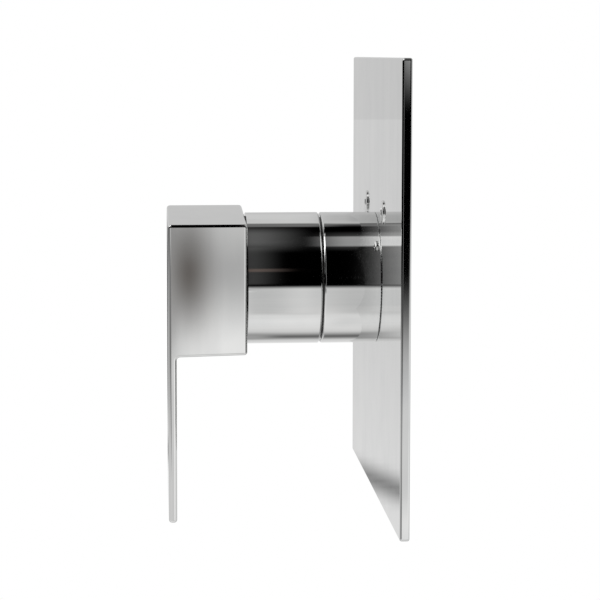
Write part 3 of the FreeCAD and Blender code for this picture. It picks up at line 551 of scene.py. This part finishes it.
def screw_grid(sizes, x, front, tip):
    """A domed screw as rows of rings from the floor of its socket to its tip.

    The dome is |r / R|^4 + |h / rise|^4 = 1 over a low rim, the socket is a hexagon, and the thread is a
    wave: r = R - depth * |2 frac(out / pitch + turn / 2 pi) - 1|, which sinks to its root at the tip.
    """
    turn = full_turn(SCREW_SIDES)
    crown = front + sizes.head_rise
    hexagon = hexagon_radius(sizes.socket, turn)
    floor = np.full_like(turn, crown - sizes.socket_depth)
    rise = sizes.head_rise - sizes.head_rim
    share = np.linspace(0, 1, DOME_RINGS)[:, None]
    mouth = np.arcsin((MOUTH_WIDTH * hexagon / sizes.head_radius) ** 2)
    slope = mouth + (np.pi / 2 - mouth) * share
    dome_r = sizes.head_radius * np.sqrt(np.sin(slope))
    dome_out = crown - rise + rise * np.sqrt(np.cos(slope).clip(0))
    socket_r = np.stack([FLOOR_MIDDLE * hexagon, hexagon, hexagon])
    socket_out = np.stack([floor, floor, dome_out[0] - MOUTH_DROP * hexagon])
    under_r = np.stack([np.full_like(turn, sizes.head_radius), np.full_like(turn, sizes.shank_radius)])
    under_out = np.full_like(under_r, front)
    shank_rings = THREAD_RINGS * round((front - tip) / sizes.thread_pitch)
    shank_out = np.linspace(front, tip, shank_rings)[:, None]
    wave = np.abs(2 * ((shank_out / sizes.thread_pitch + turn / (2 * np.pi)) % 1) - 1)
    from_tip = np.clip((shank_out - tip) / sizes.thread_pitch, 0, 1)
    shank_r = sizes.shank_radius - sizes.thread_depth * (1 - from_tip + from_tip * wave)
    radius = np.concatenate([socket_r, dome_r, under_r, shank_r])
    out = np.concatenate([socket_out, dome_out, under_out, np.broadcast_to(shank_out, shank_r.shape)])
    return about_axis(radius, out, turn, x, sizes.height)


class SHOWER_OT_plate_screws(bpy.types.Operator):
    """Makes the two domed screws of the wall plate, with their sockets and rolled threads"""

    bl_idname = "shower.plate_screws"
    bl_label = "Plate screws"

    def execute(self, context):
        sizes = context.scene.shower_screws
        low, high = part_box("plate_screws")
        front = -low[1] - sizes.head_rise
        chrome = polished_chrome(
            context.scene.shower_colours,
            "polished_chrome_screws",
            streak=(1.0, 1.0, 1.0),
            streak_mm=2.0,
            film_share=0.4,
        )
        for name, x in (("plate_screw_left", -sizes.spread), ("plate_screw_right", sizes.spread)):
            grid = screw_grid(sizes, x, front, -high[1])
            new_piece(name, grid, chrome, "valve", "plate_screws", capped=True, sharp=30.0)
        return {"FINISHED"}


# How finely the gasket is drawn, how square its section is, how many hollows lie side by side in its wall
# side, and how much its corner round grows outwards.
GASKET_POINTS = 72
GASKET_CORNER_POINTS = 9
GASKET_POWER = 8
GASKET_HOLLOWS = 3
CORNER_GROWTH = 0.05


def gasket_grid(sizes, back, front):
    """A square frame: a rounded band, hollowed between sealing beads on its wall side, carried round.

    The section is |s / a|^8 + |t / b|^8 = 1, with a half the width and b half the depth, less a hollow of
    depth d (1 + cos(3 pi s / a)) / 2 on the wall side. Its path is a square with rounded corners.
    """
    turn = full_turn(GASKET_POINTS)[:, None]
    half_width = sizes.gasket_width / 2
    half_depth = (front - back) / 2
    across = half_width * np.sign(np.cos(turn)) * np.abs(np.cos(turn)) ** (2 / GASKET_POWER)
    depth = half_depth * np.sign(np.sin(turn)) * np.abs(np.sin(turn)) ** (2 / GASKET_POWER)
    hollow = sizes.gasket_bead * (1 + np.cos(GASKET_HOLLOWS * np.pi * across / half_width)) / 2
    out = back + half_depth + depth + np.where(np.sin(turn) < 0, hollow, 0.0)
    quarter = np.repeat(np.arange(4), GASKET_CORNER_POINTS)
    corner = np.tile(np.linspace(0, np.pi / 2, GASKET_CORNER_POINTS), 4) + quarter * np.pi / 2
    side_x = np.where((quarter == 0) | (quarter == 3), 1.0, -1.0)
    side_z = np.where(quarter < 2, 1.0, -1.0)
    radius = sizes.gasket_corner + CORNER_GROWTH * (across + half_width)
    flat = sizes.gasket_side / 2 - half_width + across - radius
    x = side_x * flat + radius * np.cos(corner)
    z = side_z * flat + radius * np.sin(corner)
    return np.stack([x, np.broadcast_to(-out, x.shape), z], axis=-1)


class SHOWER_OT_plate_gasket(bpy.types.Operator):
    """Makes the soft gasket frame behind the wall plate"""

    bl_idname = "shower.plate_gasket"
    bl_label = "Plate gasket"

    def execute(self, context):
        low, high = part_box("plate_gasket")
        grid = gasket_grid(context.scene.shower_seals, -high[1], -low[1])
        rubber = black_rubber(context.scene.shower_colours)
        new_piece("gasket_frame", grid, rubber, "valve", "plate_gasket")
        return {"FINISHED"}


# How finely a round ring is drawn, and the half width of its mould line's ridge as a share of its section.
RING_POINTS = 96
SECTION_POINTS = 40
RIDGE_WIDTH = 0.1


def o_ring_grid(mean, section, flash, out, x=0.0, z=0.0):
    """A round ring: a circle of the section's radius carried round, with a fine ridge at its mould line.

    The section's radius is a + flash * exp(-(sin(t) / w)^2), so the ridge runs round inside and outside.
    """
    around = full_turn(SECTION_POINTS)[:, None]
    radius = section + flash * np.exp(-(np.sin(around) / RIDGE_WIDTH) ** 2)
    from_axis = mean + radius * np.cos(around)
    return about_axis(from_axis, out + radius * np.sin(around), full_turn(RING_POINTS), x, z)


class SHOWER_OT_o_rings(bpy.types.Operator):
    """Makes the round rubber rings of the ports, the cartridge, the sleeve and the stem"""

    bl_idname = "shower.o_rings"
    bl_label = "O-rings"

    def execute(self, context):
        sizes = context.scene.shower_seals
        rubber = black_rubber(context.scene.shower_colours)
        away = sizes.port_offset
        ports = (("hot", -away, 0.0), ("cold", away, 0.0), ("mixed", 0.0, -away))
        for owner in ("port_seals", "base_seals"):
            low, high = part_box(owner)
            out = -(low[1] + high[1]) / 2
            for port, x, z in ports:
                ring = o_ring_grid(sizes.port_ring, sizes.port_section, sizes.flash, out, x, z)
                new_piece(f"{owner}_{port}", ring, rubber, "valve", owner)
        low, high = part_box("barrel_o_rings")
        section = sizes.barrel_section
        for place, out in (("rear", -high[1] + section), ("front", -low[1] - section)):
            ring = o_ring_grid(high[0] - section, section, sizes.flash, out)
            new_piece(f"barrel_o_ring_{place}", ring, rubber, "valve", "barrel_o_rings")
        low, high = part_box("stem_o_ring")
        section = (high[1] - low[1]) / 2
        ring = o_ring_grid(high[0] - section, section, sizes.flash, -(low[1] + high[1]) / 2)
        new_piece("stem_ring", ring, rubber, "handle", "stem_o_ring")
        return {"FINISHED"}


# How finely the flat washers are drawn: round the lever's washer, whose notches need more points, round the
# sleeve's seal, and over each rounded edge.
WASHER_POINTS = 720
SLEEVE_SEAL_POINTS = 144
EDGE_POINTS = 6


def notched_hole(sizes, turn):
    """The inner radius of the lever's washer, with a notch round each of the two hub screws.

    A screw lies at a distance p from the axis, so a notch of radius n round it reaches
    |p cos(t)| + sqrt(n^2 - (p sin(t))^2), with the turn t counted from the line of the screws.
    """
    from_screws = turn + sizes.rest_turn
    aside = sizes.washer_notch_place * np.sin(from_screws)
    along = sizes.washer_notch_place * np.cos(from_screws)
    notch = np.abs(along) + np.sqrt(np.clip(sizes.washer_notch ** 2 - aside ** 2, 0, None))
    return np.where(np.abs(aside) < sizes.washer_notch, notch, sizes.washer_hole)


def washer_grid(inner, outer, back, front, edge, turn):
    """A flat ring with rounded edges: a rounded rectangle's outline carried round the axis.

    The inner radius may change with the turn, so that a notch can pass round a screw.
    """
    arc = np.linspace(0, np.pi / 2, EDGE_POINTS)
    ends = np.concatenate([arc, arc + np.pi / 2, arc + np.pi, arc + 1.5 * np.pi])[:, None]
    outside = np.repeat([1.0, 0.0, 0.0, 1.0], EDGE_POINTS)[:, None]
    ahead = np.repeat([1.0, 1.0, 0.0, 0.0], EDGE_POINTS)[:, None]
    wide = outside * (outer - edge) + (1 - outside) * (inner + edge)
    deep = ahead * (front - edge) + (1 - ahead) * (back + edge)
    return about_axis(wide + edge * np.cos(ends), deep + edge * np.sin(ends), turn)


class SHOWER_OT_flat_washers(bpy.types.Operator):
    """Makes the thin black washer between hub and lever, whose black is also painted shade for the narrow
    gap there, and the flat seal inside the sleeve
    """

    bl_idname = "shower.flat_washers"
    bl_label = "Flat washers"

    def execute(self, context):
        sizes = context.scene.shower_seals
        edge = sizes.washer_round
        rubber = black_rubber(context.scene.shower_colours)
        # The washer between hub and lever is black rubber, and its black is also painted shade for the
        # narrow gap between hub and lever.
        low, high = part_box("handle_washer")
        turn = full_turn(WASHER_POINTS)
        grid = washer_grid(notched_hole(sizes, turn), high[0], -high[1], -low[1], edge, turn)
        new_piece("lever_washer_with_gap_shade", grid, rubber, "handle", "handle_washer")
        low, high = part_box("sleeve_seal")
        turn = full_turn(SLEEVE_SEAL_POINTS)
        grid = washer_grid(high[0] - sizes.sleeve_seal_width, high[0], -high[1], -low[1], edge, turn)
        new_piece("sleeve_washer", grid, rubber, "valve", "sleeve_seal")
        return {"FINISHED"}


def past(value, edge, soft):
    """0 before an edge and 1 past it, eased over the soft width, half of it on each side of the edge."""
    share = np.clip((value - edge) / soft + 0.5, 0, 1)
    return share * share * (3 - 2 * share)


def between(value, low, high, soft):
    """1 between two edges and 0 outside them, eased over the soft width at each."""
    return past(value, low, soft) * past(-value, -high, soft)


# A flag or card pinned to the tent. Its turn is counted in degrees from the camera's side (+X) over the
# top, its side is a distance along Y, to the right as the camera sees it, and its edges fade over the soft
# widths. Its glow is its brightness, or its colour where it isn't grey, and its lean tilts it, in degrees
# of turn for each metre of side.
Flag = namedtuple("Flag", "low high left right soft_turn soft_side glow lean", defaults=[0.0])
# A side past the tent's ends and a turn past its seam, for a flag with no edge there.
FAR = 20.0
ROUND = 400.0
# The brightness of the bare cloth.
CLOTH = 0.92
FLAGS = [
    # The cloth dims towards the far side, above and below the horizon.
    Flag(155, ROUND, -FAR, FAR, 30, 0.1, 0.68),
    Flag(-ROUND, -167.5, -FAR, FAR, 20, 0.1, 0.70),
    Flag(-ROUND, -174, -FAR, FAR, 8, 0.1, 0.735),
    Flag(118, 165, -0.45, -0.19, 8, 0.05, 0.72),
    # What stands under the camera: a grey and a bright card, a grey strip over both, and a dark spot.
    Flag(-17.6, -11, -0.14, -0.06, 2, 0.02, 0.5),
    Flag(-18.3, -11, -0.066, 0.10, 2, 0.03, 1.29),
    Flag(-15.93, -12.7, -0.14, 0.10, 3.2, 0.02, 0.66),
    Flag(-16.25, -12.5, -0.071, -0.0205, 4, 0.055, (0.185, 0.17, 0.16)),
    # The pale table under the valve, and its near part in strips.
    Flag(-92, -62, -FAR, FAR, 40, 0.1, 1.24),
    Flag(-92, -62, 0.15, 0.21, 40, 0.06, 1.02),
    Flag(-60, -4, 0.0385, 0.135, 8, 0.006, 0.84),
    Flag(-60, -4, 0.085, 0.135, 8, 0.05, 0.99),
    Flag(-60, -4, 0.16, 0.21, 8, 0.06, 0.80),
    Flag(-60, -4, -0.45, -0.19, 8, 0.05, 0.83),
    Flag(-92, -62, -0.45, -0.2, 40, 0.05, 1.36),
    Flag(-58, -4, -0.45, -0.212, 8, 0.04, 1.16),
    # The shade at the table's far edge, with its pale left end.
    Flag(-130, -111, -FAR, FAR, 20, 0.1, 0.20),
    Flag(-130, -111, -FAR, 0.065, 20, 0.05, 0.53),
    Flag(-130, -95, -0.45, -0.235, 25, 0.08, 1.05),
    # A slanting dark line and a dark card on the far side, and a dark card low on the camera's side, left.
    Flag(-168.55, -167.8, -0.45, 0.2, 1.1, 0.1, 0.18, -12.0),
    Flag(-176, -168.2, -0.16, -0.03, 4, 0.04, 0.12),
    Flag(-22, -13.8, -2.0, -0.3, 2, 0.06, 0.28),
    # The black canopy from behind the camera to past the top, and pale cards on the right along its foot.
    Flag(-10.9, 115, -FAR, FAR, 7.5, 0.1, 0.0),
    Flag(-16, -8.3, 0.215, FAR, 5.5, 0.03, 1.02),
    Flag(-30, -14.4, 0.215, FAR, 2.5, 0.03, 1.27),
    Flag(-16, -5.2, 0.285, 0.6, 6, 0.06, 1.05),
    # Its grey hem past the top, and dimmer cloth beyond the hem on the right.
    Flag(106.2, 114.5, -FAR, 0.146, 4, 0.06, 0.25),
    Flag(117, 165, 0.14, FAR, 26, 0.05, 0.70),
    Flag(120, 165, 0.178, 0.22, 12, 0.02, 0.6),
    # Stray light on the canopy with a warm strip in it, and the black that covers its left part again.
    Flag(-5, 60, -FAR, 0.057, 5, 0.06, 0.09),
    Flag(60, 99, -FAR, 0.08, 24, 0.1, 0.18),
    Flag(16.5, 21.5, -FAR, 0.066, 3, 0.08, (0.22, 0.17, 0.15)),
    Flag(-5, 106, -FAR, 0.031, 4, 0.012, 0.0),
    # The canopy's grey left side, a paler fold in it, and a black fold on the right.
    Flag(-8, 112, -0.45, -0.235, 5, 0.08, 0.54),
    Flag(80, 90.5, -0.45, -0.228, 8, 0.085, 0.62),
    Flag(-8, 56, 0.188, 0.215, 5, 0.012, 0.012),
    # The slit overhead that lets light in: its dim edge, then dim on the right and bright on the left.
    Flag(57, 89, 0.146, FAR, 12, 0.07, 0.05),
    Flag(61.6, 81.7, 0.146, FAR, 4.5, 0.07, 0.48),
    Flag(61.6, 81.7, -0.45, -0.205, 4.5, 0.07, 1.30),
    Flag(61.6, 83.0, -0.185, -0.095, 4.5, 0.03, 2.0),
    # The lit opening overhead in front of the valve, and a pale card on the right at the camera's height.
    Flag(60, 95, -FAR, -0.6, 6, 0.3, 2.8),
    Flag(2.65, 7, 0.232, 0.4, 4.5, 0.02, 1.03),
]


def tent_glow(turn, side):
    """The tent's brightness at a turn and a side: pale cloth, with each flag laid over those before it."""
    glow = np.full((*turn.shape, 3), CLOTH)
    for flag in FLAGS:
        level = turn - flag.lean * side
        cover = between(level, flag.low, flag.high, flag.soft_turn)
        cover = cover * between(side, flag.left, flag.right, flag.soft_side)
        glow = glow + cover[..., None] * (np.broadcast_to(flag.glow, 3) - glow)
    return glow


def seen_only_by(made, camera=False, diffuse=False, glossy=False):
    """Lets an object be seen only by the named kinds of ray, and cast no shadow."""
    made.visible_camera = camera
    made.visible_diffuse = diffuse
    made.visible_glossy = glossy
    made.visible_transmission = False
    made.visible_volume_scatter = False
    made.visible_shadow = False


def keep_values(made, name, values):
    """Stores one number for each point of a mesh."""
    layer = made.data.attributes.new(name, "FLOAT", "POINT")
    layer.data.foreach_set("value", values.ravel())


# The tent's grid: rows round the tube, and columns along it that are close together near the valve.
TENT_ROWS = 1441
NEAR_HALF = 0.45
NEAR_COLUMNS = 181
FAR_START = 0.47
LEFT_COLUMNS = 60
RIGHT_COLUMNS = 30


def build_tent(sizes):
    """The tent: a tube about the Y axis, x = r cos(turn), z = r sin(turn), which only mirrors see."""
    turn = np.linspace(-180, 180, TENT_ROWS)
    half = sizes.tent_width / 2
    near = np.linspace(-NEAR_HALF, NEAR_HALF, NEAR_COLUMNS)
    left = np.linspace(-half, -FAR_START, LEFT_COLUMNS)
    right = np.linspace(FAR_START, half, RIGHT_COLUMNS)
    side = np.concatenate([left, near, right])
    turns, sides = np.meshgrid(turn, side, indexing="ij")
    across = sizes.tent_radius * np.cos(np.radians(turns))
    height = sizes.tent_radius * np.sin(np.radians(turns))
    points = np.stack([across, sides, height], axis=-1)
    tent = new_object("light_tent", points.reshape(-1, 3), grid_faces(len(turn), len(side)))
    glow = np.concatenate([tent_glow(turns, sides), np.ones((*turns.shape, 1))], axis=-1)
    layer = tent.data.attributes.new("glow", "FLOAT_COLOR", "POINT")
    layer.data.foreach_set("color", glow.ravel())
    material, tree, output = blank_material("tent_cloth")
    seen = node(tree, "ShaderNodeAttribute", attribute_name="glow").outputs["Color"]
    shader = node(tree, "ShaderNodeEmission", {"Color": seen, "Strength": 1.0})
    tree.links.new(shader.outputs["Emission"], output.inputs["Surface"])
    tent.data.materials.append(material)
    seen_only_by(tent, glossy=True)


# The dark band in degrees. Turns are counted about Z, so that -90 is straight ahead of the plate and 0 is
# the camera's side, and heights from level. Each edge fades over the width named beside it.
BAND_LEFT, BAND_RIGHT, BAND_END_FADE = -149, -16, 12
BAND_TOP, BAND_TOP_FADE = 6, 6
BAND_FOOT, BAND_FOOT_FADE = -9.5, 5
# From straight ahead to halfway round to the camera's side, the foot reaches lower.
DEEP_LEFT, DEEP_RIGHT, DEEP_FADE, DEEP_DROP = -93, -43, 10, 8
# The clear window low down and straight ahead.
WINDOW_LEFT, WINDOW_RIGHT, WINDOW_FADE = -98, -82, 6
WINDOW_TOP, WINDOW_TOP_FADE = -8, 4
# The grey that the band's black turns to low down.
BAND_GREY, GREY_TOP, GREY_FADE = 0.3, -8, 8
# The band's grid has a column each degree and a row each half degree.
COLUMNS_PER_DEGREE = 1
ROWS_PER_DEGREE = 2


def build_horizon(sizes):
    """The dark band in front of the valve: x = r cos(t), y = r sin(t), z = r tan(height), with soft edges.

    A window low down and straight ahead stays clear, so that the front of the plate mirrors pale cloth.
    """
    left = BAND_LEFT - BAND_END_FADE / 2
    right = BAND_RIGHT + BAND_END_FADE / 2
    bottom = BAND_FOOT - DEEP_DROP - BAND_FOOT_FADE / 2
    top = BAND_TOP + BAND_TOP_FADE / 2
    turn = np.linspace(left, right, round((right - left) * COLUMNS_PER_DEGREE) + 1)
    rise = np.linspace(bottom, top, round((top - bottom) * ROWS_PER_DEGREE) + 1)
    turns, rises = np.meshgrid(turn, rise, indexing="ij")
    around = np.radians(turns)
    height = np.tan(np.radians(rises))
    points = sizes.horizon_radius * np.stack([np.cos(around), np.sin(around), height], axis=-1)
    band = new_object("dark_horizon", points.reshape(-1, 3), grid_faces(len(turn), len(rise)))
    ends = between(turns, BAND_LEFT, BAND_RIGHT, BAND_END_FADE)
    ahead = between(turns, WINDOW_LEFT, WINDOW_RIGHT, WINDOW_FADE)
    window = 1 - ahead * past(-rises, -WINDOW_TOP, WINDOW_TOP_FADE)
    foot = BAND_FOOT - DEEP_DROP * between(turns, DEEP_LEFT, DEEP_RIGHT, DEEP_FADE)
    tall = past(rises, foot, BAND_FOOT_FADE) * past(-rises, -BAND_TOP, BAND_TOP_FADE)
    keep_values(band, "cover", ends * window * tall)
    keep_values(band, "glow", BAND_GREY * past(-rises, -GREY_TOP, GREY_FADE))
    material, tree, output = blank_material("horizon_cloth")
    share = node(tree, "ShaderNodeAttribute", attribute_name="cover").outputs["Fac"]
    clear = node(tree, "ShaderNodeBsdfTransparent").outputs["BSDF"]
    glow = node(tree, "ShaderNodeAttribute", attribute_name="glow").outputs["Fac"]
    dark = node(tree, "ShaderNodeEmission", {"Color": WHITE, "Strength": glow}).outputs["Emission"]
    mixed = node(tree, "ShaderNodeMixShader", {0: share, 1: clear, 2: dark})
    tree.links.new(mixed.outputs["Shader"], output.inputs["Surface"])
    band.data.materials.append(material)
    seen_only_by(band, glossy=True)


# The floor's grid, and the share of its radius over which it fades.
FLOOR_RINGS = 49
FLOOR_SPOKES = 129
FLOOR_FADE = 0.45


def build_floor(sizes, colours):
    """The floor: a disc z = -drop whose cover falls from 1 to 0 near its rim.

    It gives the eye a pale matt ground that takes the soft shadow and fades into white.
    """
    radius = np.linspace(0.0, sizes.floor_radius, FLOOR_RINGS)
    turn = np.linspace(0, 2 * np.pi, FLOOR_SPOKES)
    radii, turns = np.meshgrid(radius, turn, indexing="ij")
    height = np.full_like(radii, -sizes.floor_drop)
    points = np.stack([radii * np.cos(turns), radii * np.sin(turns), height], axis=-1)
    floor = new_object("studio_floor", points.reshape(-1, 3), grid_faces(len(radius), len(turn)))
    fade = FLOOR_FADE * sizes.floor_radius
    keep_values(floor, "cover", past(-radii, fade / 2 - sizes.floor_radius, fade))
    material, tree, output = blank_material("pale_studio_floor")
    place = node(tree, "ShaderNodeTexCoord").outputs["Object"]
    mottle = node(
        tree, "ShaderNodeTexNoise", {"Vector": place, "Scale": per_metre(MOTTLE_MM)}
    ).outputs["Fac"]
    base = node(
        tree,
        "ShaderNodeMix",
        {"Factor": mottle, "A": opaque(colours.floor), "B": opaque(colours.floor_mottle)},
        data_type="RGBA",
    ).outputs["Result"]
    matt = node(tree, "ShaderNodeBsdfDiffuse", {"Color": base}).outputs["BSDF"]
    clear = node(tree, "ShaderNodeBsdfTransparent").outputs["BSDF"]
    share = node(tree, "ShaderNodeAttribute", attribute_name="cover").outputs["Fac"]
    mixed = node(tree, "ShaderNodeMixShader", {0: share, 1: clear, 2: matt})
    tree.links.new(mixed.outputs["Shader"], output.inputs["Surface"])
    floor.data.materials.append(material)
    seen_only_by(floor, camera=True, diffuse=True)


def build_world(sizes):
    """White for the camera, for mirrors and for glass, and a plain even light for everything matt."""
    world = bpy.data.worlds.new("studio")
    bpy.context.scene.world = world
    world.use_nodes = True
    tree = world.node_tree
    tree.nodes.clear()
    rays = node(tree, "ShaderNodeLightPath").outputs
    seen = node(
        tree,
        "ShaderNodeMath",
        {0: rays["Is Camera Ray"], 1: rays["Is Glossy Ray"]},
        operation="ADD",
        use_clamp=True,
    ).outputs["Value"]
    seen = node(
        tree,
        "ShaderNodeMath",
        {0: seen, 1: rays["Is Transmission Ray"]},
        operation="ADD",
        use_clamp=True,
    ).outputs["Value"]
    even = node(
        tree, "ShaderNodeBackground", {"Color": WHITE, "Strength": sizes.even_light}
    ).outputs["Background"]
    white = node(tree, "ShaderNodeBackground", {"Color": WHITE, "Strength": 1.0}).outputs["Background"]
    mixed = node(tree, "ShaderNodeMixShader", {0: seen, 1: even, 2: white})
    output = node(tree, "ShaderNodeOutputWorld")
    tree.links.new(mixed.outputs["Shader"], output.inputs["Surface"])


# Where the two lamps stand, in metres from the middle of the plate.
KEY_PLACE = (0.6, -1.0, 1.1)
BACK_PLACE = (-0.7, 0.9, 0.8)


def add_lamp(name, place, side, watts):
    """A square soft lamp that points at the valve and that mirrors don't see."""
    lamp = bpy.data.lights.new(name, "AREA")
    lamp.size = side
    lamp.energy = watts
    made = bpy.data.objects.new(name, lamp)
    made.location = place
    made.rotation_euler = (-Vector(place)).to_track_quat("-Z", "Y").to_euler()
    made.visible_glossy = False
    bpy.context.scene.collection.objects.link(made)


def build_camera(sizes):
    """The camera on the valve's right, a little above it and turned towards the wall."""
    data = bpy.data.cameras.new("camera")
    data.lens = sizes.camera_lens
    camera = bpy.data.objects.new("camera", data)
    camera.location = (sizes.camera_x, sizes.camera_y, sizes.camera_z)
    level = math.cos(sizes.camera_dip)
    ahead = -level * math.cos(sizes.camera_turn)
    aside = level * math.sin(sizes.camera_turn)
    look = Vector((ahead, aside, -math.sin(sizes.camera_dip)))
    camera.rotation_euler = look.to_track_quat("-Z", "Y").to_euler()
    bpy.context.scene.collection.objects.link(camera)
    bpy.context.scene.camera = camera


class SHOWER_OT_stage(bpy.types.Operator):
    """Sets up the world, the tent, the dark band, the floor, the lamps and the camera"""

    bl_idname = "shower.stage"
    bl_label = "Studio"

    def execute(self, context):
        sizes = context.scene.shower_studio
        context.scene.view_settings.view_transform = "Standard"
        build_world(sizes)
        build_tent(sizes)
        build_horizon(sizes)
        build_floor(sizes, context.scene.shower_colours)
        add_lamp("key_lamp", KEY_PLACE, sizes.lamp_side, sizes.key_power)
        add_lamp("back_lamp", BACK_PLACE, sizes.lamp_side, sizes.back_power)
        build_camera(sizes)
        return {"FINISHED"}


OPERATORS = [
    SHOWER_OT_chrome_trim,
    SHOWER_OT_brass_parts,
    SHOWER_OT_steel_parts,
    SHOWER_OT_moulded_parts,
    SHOWER_OT_plate_screws,
    SHOWER_OT_plate_gasket,
    SHOWER_OT_o_rings,
    SHOWER_OT_flat_washers,
    SHOWER_OT_stage,
]


class SHOWER_PT_panel(bpy.types.Panel):
    """Lists the valve's pieces and its studio"""

    bl_label = "Shower valve"
    bl_idname = "SHOWER_PT_panel"
    bl_space_type = "VIEW_3D"
    bl_region_type = "UI"
    bl_category = "Shower valve"

    def draw(self, context):
        for kind in OPERATORS:
            self.layout.operator(kind.bl_idname)


GROUPS = {
    "shower_colours": FinishColours,
    "shower_screws": ScrewSizes,
    "shower_seals": SealSizes,
    "shower_studio": StudioSizes,
}
CLASSES = [*GROUPS.values(), *OPERATORS, SHOWER_PT_panel]


def register():
    for kind in CLASSES:
        bpy.utils.register_class(kind)
    for name, kind in GROUPS.items():
        setattr(bpy.types.Scene, name, PointerProperty(type=kind))


def unregister():
    for name in GROUPS:
        delattr(bpy.types.Scene, name)
    for kind in reversed(CLASSES):
        bpy.utils.unregister_class(kind)


def main():
    """Registers the classes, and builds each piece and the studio."""
    register()
    bpy.ops.shower.chrome_trim()
    bpy.ops.shower.brass_parts()
    bpy.ops.shower.steel_parts()
    bpy.ops.shower.moulded_parts()
    bpy.ops.shower.plate_screws()
    bpy.ops.shower.plate_gasket()
    bpy.ops.shower.o_rings()
    bpy.ops.shower.flat_washers()
    bpy.ops.shower.stage()


if __name__ == "__main__":
    main()
